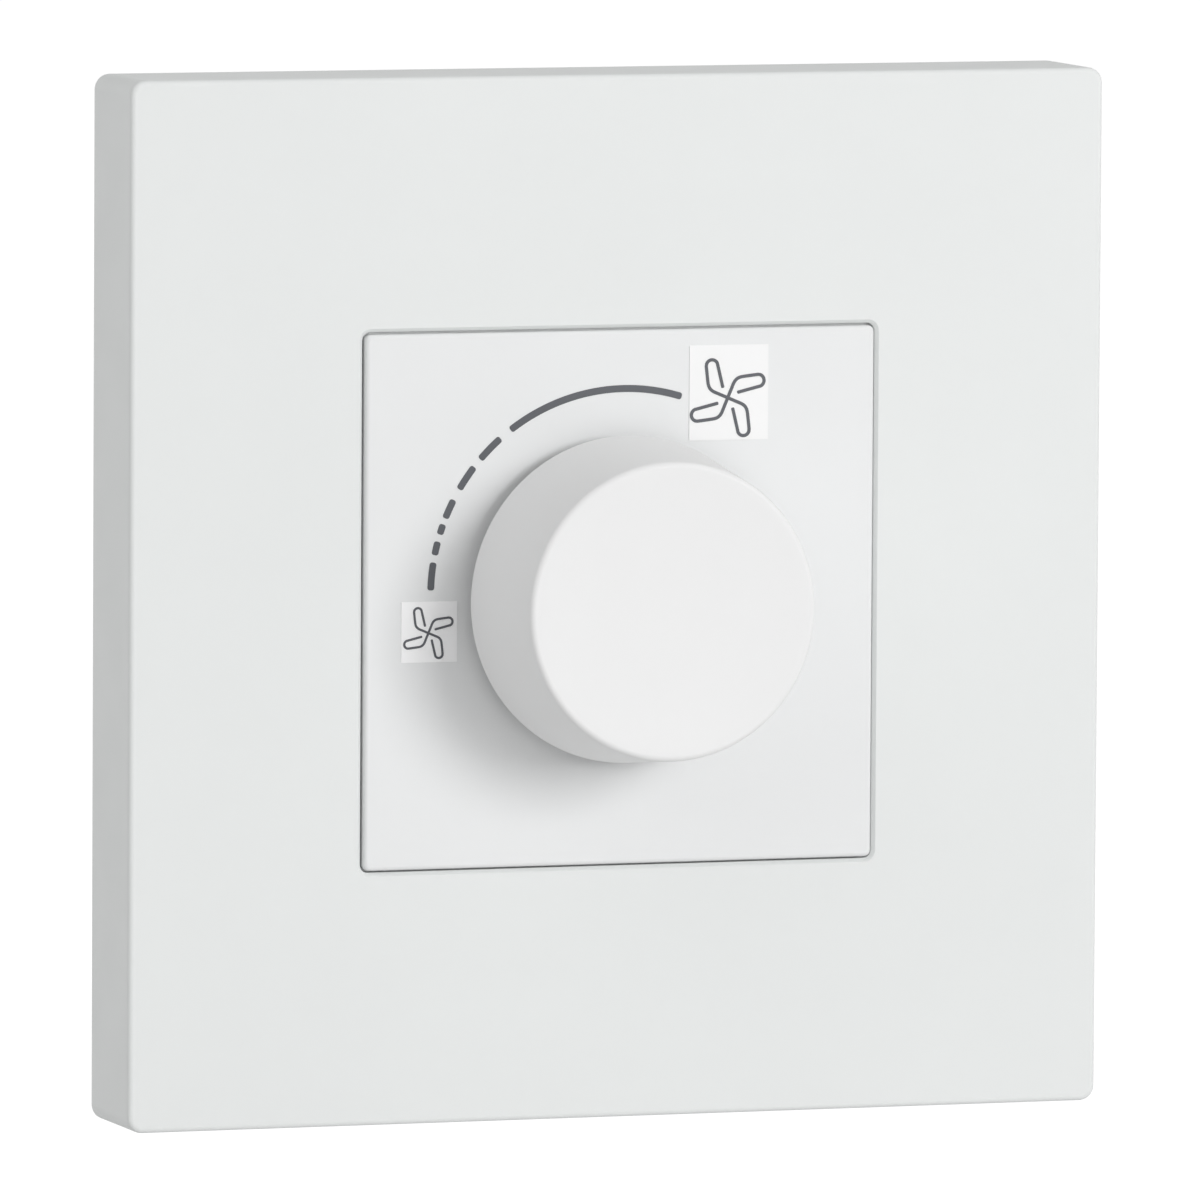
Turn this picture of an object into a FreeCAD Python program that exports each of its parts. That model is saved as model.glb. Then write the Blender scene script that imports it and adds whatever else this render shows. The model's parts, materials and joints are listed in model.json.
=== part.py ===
import FreeCAD, Part
import math
import os

V = FreeCAD.Vector

# Rotary fan speed control for a single flush wall box.
# X points to the right of someone facing the wall, Z up and Y into the wall.
# The origin is the centre of the plate on the wall's surface. Sizes are millimetres.

# Shared gaps
FIT_GAP = 0.1
SEAT_GAP = 0.2
RUN_GAP = 0.05
KEY_GAP = 0.04
TOLERANCE = 0.0001

# Outer plate
PLATE_WIDTH = 86.0
PLATE_HEIGHT = 88.0
PLATE_DEPTH = 10.5
PLATE_WALL = 2.0
PLATE_FRONT_THICKNESS = 2.2
PLATE_CORNER_RADIUS = 1.3
PLATE_EDGE_RADIUS = 0.45
OPENING_EDGE_BEVEL = 0.3
SKIRT_WALL = 1.4
RIB_THICKNESS = 1.0
RIB_SPACING = 24.0
HOOK_WIDTH = 6.0
HOOK_THICKNESS = 1.4
HOOK_BITE = 0.8
HOOK_BARB_LENGTH = 1.05
HOOK_INSET = 4.0
HOOK_SPACING = 44.0
PRY_NOTCH_WIDTH = 8.0
PRY_NOTCH_DEPTH = 1.2

# Support frame and its box screws
FRAME_MARGIN = 0.5
FRAME_THICKNESS = 3.0
FRAME_CORNER_RADIUS = 4.0
FRAME_RIM_WALL = 1.2
FRAME_RIM_HEIGHT = 1.5
COLLAR_WALL = 1.5
COLLAR_GAP = 0.3
BOX_SCREW_SPACING = 60.3
BOX_SCREW_RADIUS = 1.75
BOX_SCREW_NECK_RADIUS = 1.5
BOX_SCREW_HEAD_RADIUS = 3.3
BOX_SCREW_HEAD_HEIGHT = 2.0
BOX_SCREW_HEAD_BEVEL = 0.8
CROSS_RECESS_LENGTH = 4.0
CROSS_RECESS_DEPTH = 1.1
BOX_SCREW_REACH = 22.0
BOX_SLOT_WIDTH = 3.8
BOX_SLOT_LENGTH = 9.0

# Centre plate
CENTRE_SIZE = 45.0
CENTRE_GAP = 0.2
CENTRE_PROUD = 0.3
CENTRE_THICKNESS = 1.8
CENTRE_SKIRT_WALL = 1.2
CENTRE_SKIRT_DEPTH = 3.4
CENTRE_EDGE_RADIUS = 0.35
CENTRE_CORNER_RADIUS = 0.5
CENTRE_GAP_DEPTH = 0.9
CENTRE_HOLE_GAP = 0.8
PEG_RADIUS = 1.1
PEG_INSET = 3.1
PEG_GRIP = 1.8

# Labels at the ends of the printed scale
LABEL_THICKNESS = 0.08
LOW_LABEL_WIDTH = 4.9
LOW_LABEL_HEIGHT = 5.1
LOW_LABEL_INSET = 3.15
LOW_LABEL_Z = -2.5
HIGH_LABEL_WIDTH = 7.0
HIGH_LABEL_HEIGHT = 8.0
HIGH_LABEL_SIDE_INSET = 9.5
HIGH_LABEL_INSET = 1.4

# Knob
KNOB_BASE_RADIUS = 13.84
KNOB_TOP_RADIUS = 12.5
KNOB_HEIGHT = 12.4
KNOB_GAP = 1.6
KNOB_WALL = 1.7
KNOB_DISH = 0.55
KNOB_EDGE_RADIUS = 0.5
KNOB_RIM_BEVEL = 0.3
KNOB_BOSS_WALL = 1.46
KNOB_BOSS_BELOW_RIM = 1.1
KNOB_RIB_COUNT = 6
KNOB_RIB_THICKNESS = 1.0
KNOB_RIB_DEPTH = 5.0
KNOB_SLIT_WIDTH = 0.8
KNOB_SLIT_LENGTH = 6.0
KNOB_SPRING_THICKNESS = 0.4
KNOB_SPRING_LENGTH = 3.0
KNOB_SPRING_OPENING = 60.0
KNOB_SPRING_INSET = 1.0

# Shaft and its travel
PUSH_TRAVEL = 1.2
SHAFT_RADIUS = 3.0
SHAFT_FLAT = 1.9
SHAFT_GRIP_MARGIN = 0.5
SHAFT_TIP_GAP = 0.4
SHAFT_COLLAR_STEP = 0.8
SHAFT_COLLAR_LENGTH = 0.8
SHAFT_PIN_RADIUS = 1.5

# Bracket and bushing
BRACKET_THICKNESS = 1.0
BRACKET_LEG_WIDTH = 4.0
BRACKET_LEG_THICKNESS = 0.8
BRACKET_LEG_GAP = 0.2
BUSHING_WALL = 0.65
BUSHING_LENGTH = 3.6

# Variable resistor
CASE_RADIUS = 8.8
CASE_WALL = 1.3
CASE_SHOULDER = 0.8
ROTOR_GAP = 0.5
ROTOR_THICKNESS = 1.6
ROTOR_HUB_WALL = 1.36
ROTOR_HUB_LENGTH = 0.8
TRACK_THICKNESS = 0.8
TRACK_HOLE_RADIUS = 3.6
TRACK_TAB_WIDTH = 13.0
TRACK_TAB_LENGTH = 1.0
TRACK_LEAD_INSET = 1.0
TRACK_GAP = 0.6
WIPER_THICKNESS = 0.25
WIPER_WIDTH = 2.4
WIPER_RING_INSET = 0.4
WIPER_FINGER = 1.2
WIPER_SHOE = 1.8
TERMINAL_PITCH = 5.0
TERMINAL_FOOT_WIDTH = 1.4
TERMINAL_FOOT_HEIGHT = 1.6
TERMINAL_FOOT_THICKNESS = 0.4

# Push switch behind the resistor
SWITCH_WIDTH = 14.0
SWITCH_HEIGHT = 13.0
SWITCH_DEPTH = 7.8
SWITCH_WALL = 1.0
SWITCH_BASE_THICKNESS = 1.2
SWITCH_CORNER_RADIUS = 0.6
SWITCH_HOLE_GAP = 0.5
PLUNGER_GAP = 0.3
PLUNGER_FLANGE_RADIUS = 4.0
PLUNGER_FLANGE_THICKNESS = 1.2
PLUNGER_STEM_WALL = 0.45
PLUNGER_STEM_LENGTH = 3.5
PLUNGER_BORE_DEPTH = 3.0
BRIDGE_OVERHANG = 1.0
BRIDGE_SEAT_WALL = 0.6
BRIDGE_WIDTH = 4.6
BRIDGE_THICKNESS = 0.4
CONTACT_SPACING = 8.0
CONTACT_SIZE = 2.4
CONTACT_GAP = 0.1
SPRING_WIRE_RADIUS = 0.15
SPRING_WIRE_SIDES = 4
SPRING_RADIUS = 0.85
SPRING_TURNS = 4
SPRING_GAP = 0.15

# Module chassis and rear housing
BODY_SIZE = 41.4
SHELL_WALL = 1.6
BODY_CORNER_RADIUS = 1.0
FLANGE_THICKNESS = 2.2
FLANGE_OVERHANG = 1.8
CHASSIS_LENGTH = 8.0
LATCH_WIDTH = 7.0
LATCH_BITE = 0.9
LATCH_SLIT = 0.6
LATCH_TONGUE = 5.0
LATCH_BARB_LENGTH = 1.2
LATCH_OFFSET = 1.2
LIP_WALL = 0.7
LIP_HEIGHT = 1.2
LIP_GAP = 0.1
REAR_ROOM = 11.8
HOUSING_EDGE_BEVEL = 0.8
POST_INSET = 1.9
POST_WALL = 0.9
LEDGE_SIZE = 2.2
LEDGE_POST_GAP = 2.1
VENT_COUNT = 6
VENT_WIDTH = 1.4
VENT_LENGTH = 14.0
VENT_PITCH = 3.6
VENT_Z = 4.0
SHELL_SCREW_RADIUS = 1.1
SHELL_SCREW_HEAD_RADIUS = 1.9
SHELL_SCREW_HEAD_HEIGHT = 1.4
SHELL_SCREW_GRIP = 6.0
SHELL_SCREW_BITE = 6.5
SHELL_SCREW_TIP_GAP = 0.3

# Circuit board and what is soldered to it
BOARD_GAP = 0.4
BOARD_THICKNESS = 1.6
BOARD_STANDOFF = 1.2
BOARD_POST_GAP = 0.3
LEAD = 0.7
LEAD_HOLE = 0.95
LEAD_STICK_OUT = 0.9

SINK_POST_GAP = 1.2
SINK_THICKNESS = 1.4
SINK_DEPTH = 15.8
SINK_FLANGE = 4.0
PAD_THICKNESS = 0.2
PAD_MARGIN = 0.5
TRIAC_WIDTH = 10.0
TRIAC_BODY_LENGTH = 8.6
TRIAC_TAB_LENGTH = 6.2
TRIAC_TAB_THICKNESS = 1.2
TRIAC_THICKNESS = 4.3
TRIAC_LEAD_PITCH = 2.54
TRIAC_LEAD_DEPTH = 2.6
TRIAC_HOLE_RADIUS = 1.8
SINK_SCREW_RADIUS = 1.5
SINK_SCREW_HEAD_RADIUS = 2.6
SINK_SCREW_HEAD_HEIGHT = 2.0

CHOKE_WALL_GAP = 0.7
CHOKE_OUTER = 6.3
CHOKE_INNER = 3.7
CHOKE_THICKNESS = 4.2
CHOKE_SLEEVE = 0.2
CHOKE_WIRE = 0.7
CHOKE_TURNS = 14
CHOKE_WOUND_ANGLE = 320.0

MAINS_CAP_WIDTH = 7.2
MAINS_CAP_HEIGHT = 17.0
MAINS_CAP_DEPTH = 12.0
NOISE_CAP_WALL_GAP = 1.4
NOISE_CAP_WIDTH = 13.0
NOISE_CAP_HEIGHT = 5.0
NOISE_CAP_DEPTH = 9.0
TIMING_CAP_X = -9.0
TIMING_CAP_Z = 8.5
TIMING_CAP_WIDTH = 7.2
TIMING_CAP_HEIGHT = 2.6
TIMING_CAP_DEPTH = 6.5
CAP_EDGE_RADIUS = 0.5
CAP_LEAD_INSET = 1.25

FUSE_WALL_GAP = 0.25
FUSE_LENGTH = 20.0
FUSE_TUBE_RADIUS = 2.4
FUSE_TUBE_WALL = 0.5
FUSE_CAP_WALL = 0.2
FUSE_CAP_END = 0.5
FUSE_CAP_LENGTH = 5.0
FUSE_CLIP_WIDTH = 3.0
FUSE_CLIP_WALL = 0.45
FUSE_CLIP_FLOOR = 1.2
FUSE_CLIP_GRIP = 1.8

RESISTOR_X = 8.5
RESISTOR_Z = 3.0
RESISTOR_PITCH = 3.6
RESISTOR_COUNT = 3
RESISTOR_LENGTH = 6.2
RESISTOR_RADIUS = 1.15
RESISTOR_SPAN = 10.2
DIAC_X = -9.0
DIAC_Z = 4.6
DIAC_LENGTH = 3.8
DIAC_RADIUS = 0.9
DIAC_SPAN = 7.6
VARISTOR_X = -8.5
VARISTOR_Z = -2.0
VARISTOR_RADIUS = 4.6
VARISTOR_THICKNESS = 3.4
VARISTOR_BEVEL = 0.8
VARISTOR_LEAD_SPAN = 5.0

# Wire terminals
BLOCK_END_WALL = 2.2
BLOCK_TOP_WALL = 1.1
BLOCK_GAP = 0.15
TERMINAL_SPACING = 11.0
CLAMP_WIDTH = 6.6
CLAMP_HEIGHT = 6.4
CLAMP_LENGTH = 7.4
CLAMP_COVER = 4.0
CLAMP_FLOOR = 2.0
WIRE_ENTRY_RADIUS = 1.9
WIRE_HOLE_RADIUS = 1.7
WIRE_HOLE_DEPTH = 6.4
CLAMP_SCREW_RADIUS = 1.25
CLAMP_SCREW_HEAD_RADIUS = 1.95
CLAMP_SCREW_HEAD_HEIGHT = 1.8
CLAMP_SCREW_ACCESS_GAP = 0.25
CLAMP_SCREW_RELEASE = 0.6
DRIVER_SLOT_WIDTH = 0.6
DRIVER_SLOT_DEPTH = 0.8

# Levels along Y, from the wall's surface to the front
wall_face = 0.0
plate_front = wall_face - PLATE_DEPTH
plate_inside = plate_front + PLATE_FRONT_THICKNESS
centre_front = plate_front - CENTRE_PROUD
centre_back = centre_front + CENTRE_THICKNESS
step_front = plate_front + CENTRE_GAP_DEPTH
flange_front = centre_back + CENTRE_SKIRT_DEPTH
flange_back = flange_front + FLANGE_THICKNESS
chassis_back = flange_back + CHASSIS_LENGTH
knob_rim = centre_front - KNOB_GAP
knob_front = knob_rim - KNOB_HEIGHT
frame_front = wall_face - FRAME_THICKNESS
rim_front = frame_front - FRAME_RIM_HEIGHT
rib_back = flange_front - SEAT_GAP

# Levels along Y, from the bushing to the back
bracket_back = flange_back + BRACKET_THICKNESS
bushing_front = flange_back - BUSHING_LENGTH
collar_start = bracket_back + RUN_GAP
collar_end = collar_start + SHAFT_COLLAR_LENGTH
rotor_front = collar_end + PUSH_TRAVEL + 3 * RUN_GAP
rotor_back = rotor_front + ROTOR_THICKNESS
hub_back = rotor_back + ROTOR_HUB_LENGTH
track_front = hub_back + TRACK_GAP
track_back = track_front + TRACK_THICKNESS
switch_back = track_back + SWITCH_DEPTH
base_back = switch_back + SWITCH_BASE_THICKNESS
plunger_front = track_back + SWITCH_WALL + PLUNGER_GAP
flange_rear = plunger_front + PLUNGER_FLANGE_THICKNESS
stem_back = flange_rear + PLUNGER_STEM_LENGTH
bridge_back = stem_back - BRIDGE_THICKNESS
contact_front = bridge_back + PUSH_TRAVEL + CONTACT_GAP
board_front = base_back + BOARD_STANDOFF
board_back = board_front + BOARD_THICKNESS
housing_inside = board_back + REAR_ROOM
housing_back = housing_inside + SHELL_WALL
lead_back = board_back + LEAD_STICK_OUT
lead_front = board_front - LEAD_STICK_OUT
front_seat = lead_front - SEAT_GAP
rear_seat = lead_back + SEAT_GAP

# Sizes that follow from the others
plate_room_width = PLATE_WIDTH - 2 * PLATE_WALL
plate_room_height = PLATE_HEIGHT - 2 * PLATE_WALL
frame_width = plate_room_width - 2 * FRAME_MARGIN
frame_height = plate_room_height - 2 * FRAME_MARGIN
hook_spacing = frame_width - 2 * HOOK_INSET
opening = CENTRE_SIZE + 2 * CENTRE_GAP
opening_radius = CENTRE_CORNER_RADIUS + CENTRE_GAP
step_size = opening - 2 * RUN_GAP
low_label_x = LOW_LABEL_INSET + (LOW_LABEL_WIDTH - CENTRE_SIZE) / 2
high_label_x = (CENTRE_SIZE - HIGH_LABEL_WIDTH) / 2 - HIGH_LABEL_SIDE_INSET
high_label_z = (CENTRE_SIZE - HIGH_LABEL_HEIGHT) / 2 - HIGH_LABEL_INSET
collar_inner = BODY_SIZE + 2 * COLLAR_GAP
collar_outer = collar_inner + 2 * COLLAR_WALL
flange_size = BODY_SIZE + 2 * FLANGE_OVERHANG
body_inside = BODY_SIZE - 2 * SHELL_WALL
post_spacing = body_inside - 2 * POST_INSET
peg_spacing = body_inside - 2 * PEG_INSET
case_bore = CASE_RADIUS - CASE_WALL
rotor_radius = case_bore - ROTOR_GAP
rotor_hub_radius = SHAFT_RADIUS + KEY_GAP + ROTOR_HUB_WALL
track_tab_reach = CASE_RADIUS + TRACK_TAB_LENGTH
bushing_radius = SHAFT_RADIUS + RUN_GAP + BUSHING_WALL
boss_radius = SHAFT_RADIUS + KEY_GAP + KNOB_BOSS_WALL
bracket_width = 2 * (CASE_RADIUS + BRACKET_LEG_GAP + BRACKET_LEG_THICKNESS)
plunger_bore_radius = SPRING_RADIUS + SPRING_WIRE_RADIUS + SPRING_GAP
plunger_stem_radius = plunger_bore_radius + PLUNGER_STEM_WALL
post_radius = SHELL_SCREW_HEAD_RADIUS + SEAT_GAP + POST_WALL
ledge_offset = post_spacing / 2 - post_radius - LEDGE_POST_GAP - LEDGE_SIZE / 2
board_size = body_inside - 2 * BOARD_GAP
clamp_screw_access = CLAMP_SCREW_HEAD_RADIUS + CLAMP_SCREW_ACCESS_GAP
case_seat = CASE_RADIUS - CASE_WALL / 2
shaft_front = knob_front + KNOB_DISH + KNOB_WALL + SHAFT_TIP_GAP + RUN_GAP
boss_back = knob_rim + KNOB_BOSS_BELOW_RIM
block_width = TERMINAL_SPACING + CLAMP_WIDTH + 2 * BLOCK_END_WALL
block_bottom = -body_inside / 2 + BLOCK_GAP
block_top = block_bottom + CLAMP_FLOOR + CLAMP_HEIGHT + BLOCK_TOP_WALL
clamp_z = block_bottom + CLAMP_FLOOR + CLAMP_HEIGHT / 2
clamp_back = housing_back - CLAMP_COVER
clamp_front = clamp_back - CLAMP_LENGTH
clamp_screw_y = (clamp_front + clamp_back) / 2
room_half = body_inside / 2 - LIP_GAP - LIP_WALL - SEAT_GAP
sink_top = room_half
sink_face = sink_top - SINK_THICKNESS
sink_length = post_spacing - 2 * post_radius - 2 * SINK_POST_GAP
sink_back = front_seat
tab_top = sink_face - PAD_THICKNESS
triac_back = lead_front
triac_front = triac_back - TRIAC_BODY_LENGTH
tab_front = triac_front - TRIAC_TAB_LENGTH
sink_screw_y = tab_front + TRIAC_TAB_LENGTH / 2
choke_y = front_seat - CHOKE_WIRE - CHOKE_OUTER
choke_x = CHOKE_WALL_GAP + CHOKE_WIRE + CHOKE_THICKNESS / 2 - room_half
mains_cap_x = room_half - MAINS_CAP_WIDTH / 2
noise_cap_z = room_half - NOISE_CAP_WALL_GAP - NOISE_CAP_HEIGHT / 2
fuse_cap_radius = FUSE_TUBE_RADIUS + FUSE_CAP_WALL
fuse_z = FUSE_WALL_GAP + FUSE_CLIP_WALL + fuse_cap_radius - room_half
fuse_tube_length = FUSE_LENGTH - 2 * FUSE_CAP_END
fuse_y = board_front - FUSE_CLIP_FLOOR - fuse_cap_radius


def bar(width, height, front, back, x=0.0, z=0.0):
    """A square-edged bar along Y, centred on x and z."""
    return Part.makeBox(width, back - front, height, V(x - width / 2, front, z - height / 2))


def rod(radius, front, back, x=0.0, z=0.0):
    """A round bar along Y."""
    return Part.makeCylinder(radius, back - front, V(x, front, z), V(0, 1, 0))


def ring(outer, inner, front, back, x=0.0, z=0.0):
    """A round tube along Y."""
    return rod(outer, front, back, x, z).cut(rod(inner, front, back, x, z))


def cross_rod(radius, length, centre, axis):
    """A round bar along any axis, centred on a point."""
    start = centre - axis * (length / 2)
    return Part.makeCylinder(radius, length, start, axis)


def edges_along_y(shape):
    """The straight edges that run along Y."""
    return [e for e in shape.Edges if e.BoundBox.YLength > e.Length - TOLERANCE]


def edges_at(shape, level, reach=None):
    """The edges that lie in one plane across Y, within reach of the axis if it is given."""
    found = []
    for edge in shape.Edges:
        box = edge.BoundBox
        flat = abs(box.YMin - level) < TOLERANCE and abs(box.YMax - level) < TOLERANCE
        far = max(abs(box.XMin), abs(box.XMax), abs(box.ZMin), abs(box.ZMax))
        if flat and (reach is None or far <= reach):
            found.append(edge)
    return found


def rounded_bar(width, height, front, back, radius, x=0.0, z=0.0):
    """A bar along Y with its four long edges rounded."""
    body = bar(width, height, front, back, x, z)
    return body.makeFillet(radius, edges_along_y(body))


def corners(spacing_x, spacing_z):
    """Four points at the corners of a rectangle round the axis."""
    places = []
    for side_x in (-1, 1):
        for side_z in (-1, 1):
            places.append((side_x * spacing_x / 2, side_z * spacing_z / 2))
    return places


def sides(spacing):
    """Two values on either side of the middle."""
    return (-spacing / 2, spacing / 2)


def lead(x, z, front, back, size=LEAD):
    """A square lead along Y."""
    return bar(size, size, front, back, x, z)


def lead_in_line(positions_x, z):
    """Lead places in a row along X."""
    return [(x, z) for x in positions_x]


# Where each part's leads pass through the board
triac_lead_z = tab_top - TRIAC_LEAD_DEPTH
triac_leads = lead_in_line((-TRIAC_LEAD_PITCH, 0.0, TRIAC_LEAD_PITCH), triac_lead_z)
sink_leads = lead_in_line(sides(sink_length - SINK_THICKNESS), sink_face - SINK_FLANGE / 2)
choke_leads = lead_in_line([choke_x + dx for dx in sides(CHOKE_THICKNESS)], 0.0)
mains_cap_leads = [(mains_cap_x, z) for z in sides(MAINS_CAP_HEIGHT - 2 * CAP_LEAD_INSET)]
fuse_leads = lead_in_line(sides(FUSE_LENGTH - FUSE_CAP_LENGTH), fuse_z)
track_lead_z = TRACK_LEAD_INSET - track_tab_reach
track_leads = lead_in_line((-TERMINAL_PITCH, 0.0, TERMINAL_PITCH), track_lead_z)
bracket_leads = lead_in_line(sides(bracket_width - BRACKET_LEG_THICKNESS), 0.0)
contact_leads = lead_in_line(sides(CONTACT_SPACING), 0.0)
noise_cap_leads = lead_in_line(sides(NOISE_CAP_WIDTH - 2 * CAP_LEAD_INSET), noise_cap_z)
timing_cap_span = TIMING_CAP_WIDTH - 2 * CAP_LEAD_INSET
timing_cap_leads = lead_in_line([TIMING_CAP_X + dx for dx in sides(timing_cap_span)],
                                TIMING_CAP_Z)
varistor_leads = lead_in_line([VARISTOR_X + dx for dx in sides(VARISTOR_LEAD_SPAN)], VARISTOR_Z)
diac_leads = lead_in_line([DIAC_X + dx for dx in sides(DIAC_SPAN)], DIAC_Z)
resistor_rows = [RESISTOR_Z + i * RESISTOR_PITCH for i in range(RESISTOR_COUNT)]
resistor_leads = []
for row_z in resistor_rows:
    resistor_leads += lead_in_line([RESISTOR_X + dx for dx in sides(RESISTOR_SPAN)], row_z)
clamp_leads = lead_in_line(sides(TERMINAL_SPACING), clamp_z)
all_leads = (triac_leads + sink_leads + choke_leads + mains_cap_leads + fuse_leads
             + track_leads + bracket_leads + contact_leads + noise_cap_leads
             + timing_cap_leads + varistor_leads + diac_leads + resistor_leads + clamp_leads)


def outer_plate():
    """The square moulded plate: a shallow tray with a framed opening, ribs and four hooks."""
    body = rounded_bar(PLATE_WIDTH, PLATE_HEIGHT, plate_front, wall_face, PLATE_CORNER_RADIUS)
    body = body.makeFillet(PLATE_EDGE_RADIUS, edges_at(body, plate_front))
    body = body.cut(bar(plate_room_width, plate_room_height, plate_inside, wall_face))
    skirt_size = opening + 2 * SKIRT_WALL
    additions = [bar(skirt_size, skirt_size, plate_inside, rib_back)]
    for offset in sides(RIB_SPACING):
        additions.append(bar(plate_room_width, RIB_THICKNESS, plate_inside, rib_back, 0.0,
                             offset))
        additions.append(bar(RIB_THICKNESS, plate_room_height, plate_inside, rib_back,
                             offset, 0.0))
    for x, z in corners(hook_spacing, HOOK_SPACING):
        additions.append(plate_hook(x, z))
    body = body.fuse(additions)
    hole = rounded_bar(opening, opening, plate_front, wall_face, opening_radius)
    body = body.cut(hole).removeSplitter()
    body = body.makeChamfer(OPENING_EDGE_BEVEL, edges_at(body, plate_front, opening / 2 + TOLERANCE))
    notch = Part.makeBox(PRY_NOTCH_WIDTH, PRY_NOTCH_DEPTH, PLATE_WALL,
                         V(-PRY_NOTCH_WIDTH / 2, wall_face - PRY_NOTCH_DEPTH,
                           -PLATE_HEIGHT / 2))
    return body.cut(notch)


def hook_ledge():
    """The level that a plate hook's barb bears on."""
    return wall_face - SEAT_GAP - HOOK_BARB_LENGTH


def plate_hook(x, z):
    """A springy arm with a barb that points to the middle of the plate."""
    inward = -1 if x > 0 else 1
    end = wall_face - SEAT_GAP
    arm = bar(HOOK_THICKNESS, HOOK_WIDTH, plate_inside, end, x, z)
    face = x + inward * HOOK_THICKNESS / 2
    points = [V(face, hook_ledge(), 0), V(face + inward * HOOK_BITE, hook_ledge(), 0),
              V(face, end, 0), V(face, hook_ledge(), 0)]
    barb = Part.Face(Part.makePolygon(points)).extrude(V(0, 0, HOOK_WIDTH))
    barb.translate(V(0, 0, z - HOOK_WIDTH / 2))
    return arm.fuse(barb)


def support_frame():
    """The frame that the box screws hold to the wall, with a collar for the module."""
    body = rounded_bar(frame_width, frame_height, rim_front, wall_face, FRAME_CORNER_RADIUS)
    tray = rounded_bar(frame_width - 2 * FRAME_RIM_WALL, frame_height - 2 * FRAME_RIM_WALL,
                       rim_front, frame_front, FRAME_CORNER_RADIUS - FRAME_RIM_WALL)
    body = body.cut(tray)
    body = body.fuse(bar(collar_outer, collar_outer, flange_back, wall_face))
    cuts = [bar(collar_inner, collar_inner, flange_back, wall_face)]
    for x in sides(BOX_SCREW_SPACING):
        cuts.append(rod(BOX_SCREW_HEAD_RADIUS + SEAT_GAP, rim_front, frame_front, x))
        straight = BOX_SLOT_LENGTH - BOX_SLOT_WIDTH
        cuts.append(bar(BOX_SLOT_WIDTH, straight, frame_front, wall_face, x))
        for z in sides(straight):
            cuts.append(rod(BOX_SLOT_WIDTH / 2, frame_front, wall_face, x, z))
    for x, z in corners(hook_spacing, HOOK_SPACING):
        cuts += hook_window(x, z)
    latch_room = LATCH_WIDTH + 2 * COLLAR_GAP
    latch_front = flange_back + LATCH_OFFSET - COLLAR_GAP
    latch_back = flange_back + LATCH_OFFSET + LATCH_BARB_LENGTH + COLLAR_GAP
    cuts.append(bar(collar_outer, latch_room, latch_front, latch_back))
    return body.cut(cuts).removeSplitter()


def hook_window(x, z):
    """The room that a plate hook needs in the support frame."""
    inward = -1 if x > 0 else 1
    half = HOOK_THICKNESS / 2
    height = HOOK_WIDTH + 2 * COLLAR_GAP
    near = x + inward * (half + COLLAR_GAP)
    far = x - inward * (half + HOOK_BITE + COLLAR_GAP)
    through = bar(abs(far - near), height, frame_front, wall_face, (near + far) / 2, z)
    deep = x + inward * (half + HOOK_BITE + COLLAR_GAP)
    pocket = bar(abs(deep - x), height, hook_ledge() - SEAT_GAP, wall_face, (deep + x) / 2, z)
    return [through, pocket]


def box_screws():
    """The two screws that hold the support frame to the wall box."""
    solids = []
    for x in sides(BOX_SCREW_SPACING):
        head_front = frame_front - BOX_SCREW_HEAD_HEIGHT
        head = rod(BOX_SCREW_HEAD_RADIUS, head_front, frame_front, x)
        head = head.makeChamfer(BOX_SCREW_HEAD_BEVEL, edges_at(head, head_front))
        screw = head.fuse([rod(BOX_SCREW_NECK_RADIUS, frame_front, wall_face, x),
                           rod(BOX_SCREW_RADIUS, wall_face, wall_face + BOX_SCREW_REACH, x)])
        screw = screw.cut(cross_recess(head_front, x))
        solids.append(screw)
    return solids


def cross_recess(front, x):
    """The two crossing slots of a driver recess that opens to the front."""
    floor = front + CROSS_RECESS_DEPTH
    first = bar(CROSS_RECESS_LENGTH, DRIVER_SLOT_WIDTH, front, floor, x)
    second = bar(DRIVER_SLOT_WIDTH, CROSS_RECESS_LENGTH, front, floor, x)
    return first.fuse(second)


def centre_plate():
    """The square face of the module. Its stepped edge fills the opening, less a shallow gap.

    It has a hole for the knob's boss and four pegs."""
    body = rounded_bar(CENTRE_SIZE, CENTRE_SIZE, centre_front, flange_front, CENTRE_CORNER_RADIUS)
    body = body.makeFillet(CENTRE_EDGE_RADIUS, edges_at(body, centre_front))
    body = body.fuse(rounded_bar(step_size, step_size, step_front, flange_front,
                                 opening_radius - RUN_GAP))
    hollow = CENTRE_SIZE - 2 * CENTRE_SKIRT_WALL
    body = body.cut(bar(hollow, hollow, centre_back, flange_front))
    pegs = []
    for x, z in corners(peg_spacing, peg_spacing):
        pegs.append(rod(PEG_RADIUS, centre_back, flange_front + PEG_GRIP, x, z))
    body = body.fuse(pegs)
    return body.cut(rod(boss_radius + CENTRE_HOLE_GAP, centre_front, centre_back))


def label(width, height, x, z):
    """A thin white label on the centre plate."""
    return bar(width, height, centre_front - LABEL_THICKNESS, centre_front, x, z)


def revolve(points):
    """A solid turned about Y from a closed outline of (radius, level) points."""
    wire = Part.makePolygon([V(r, y, 0) for r, y in points + points[:1]])
    return Part.Face(wire).revolve(V(0, 0, 0), V(0, 1, 0), 360)


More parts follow.
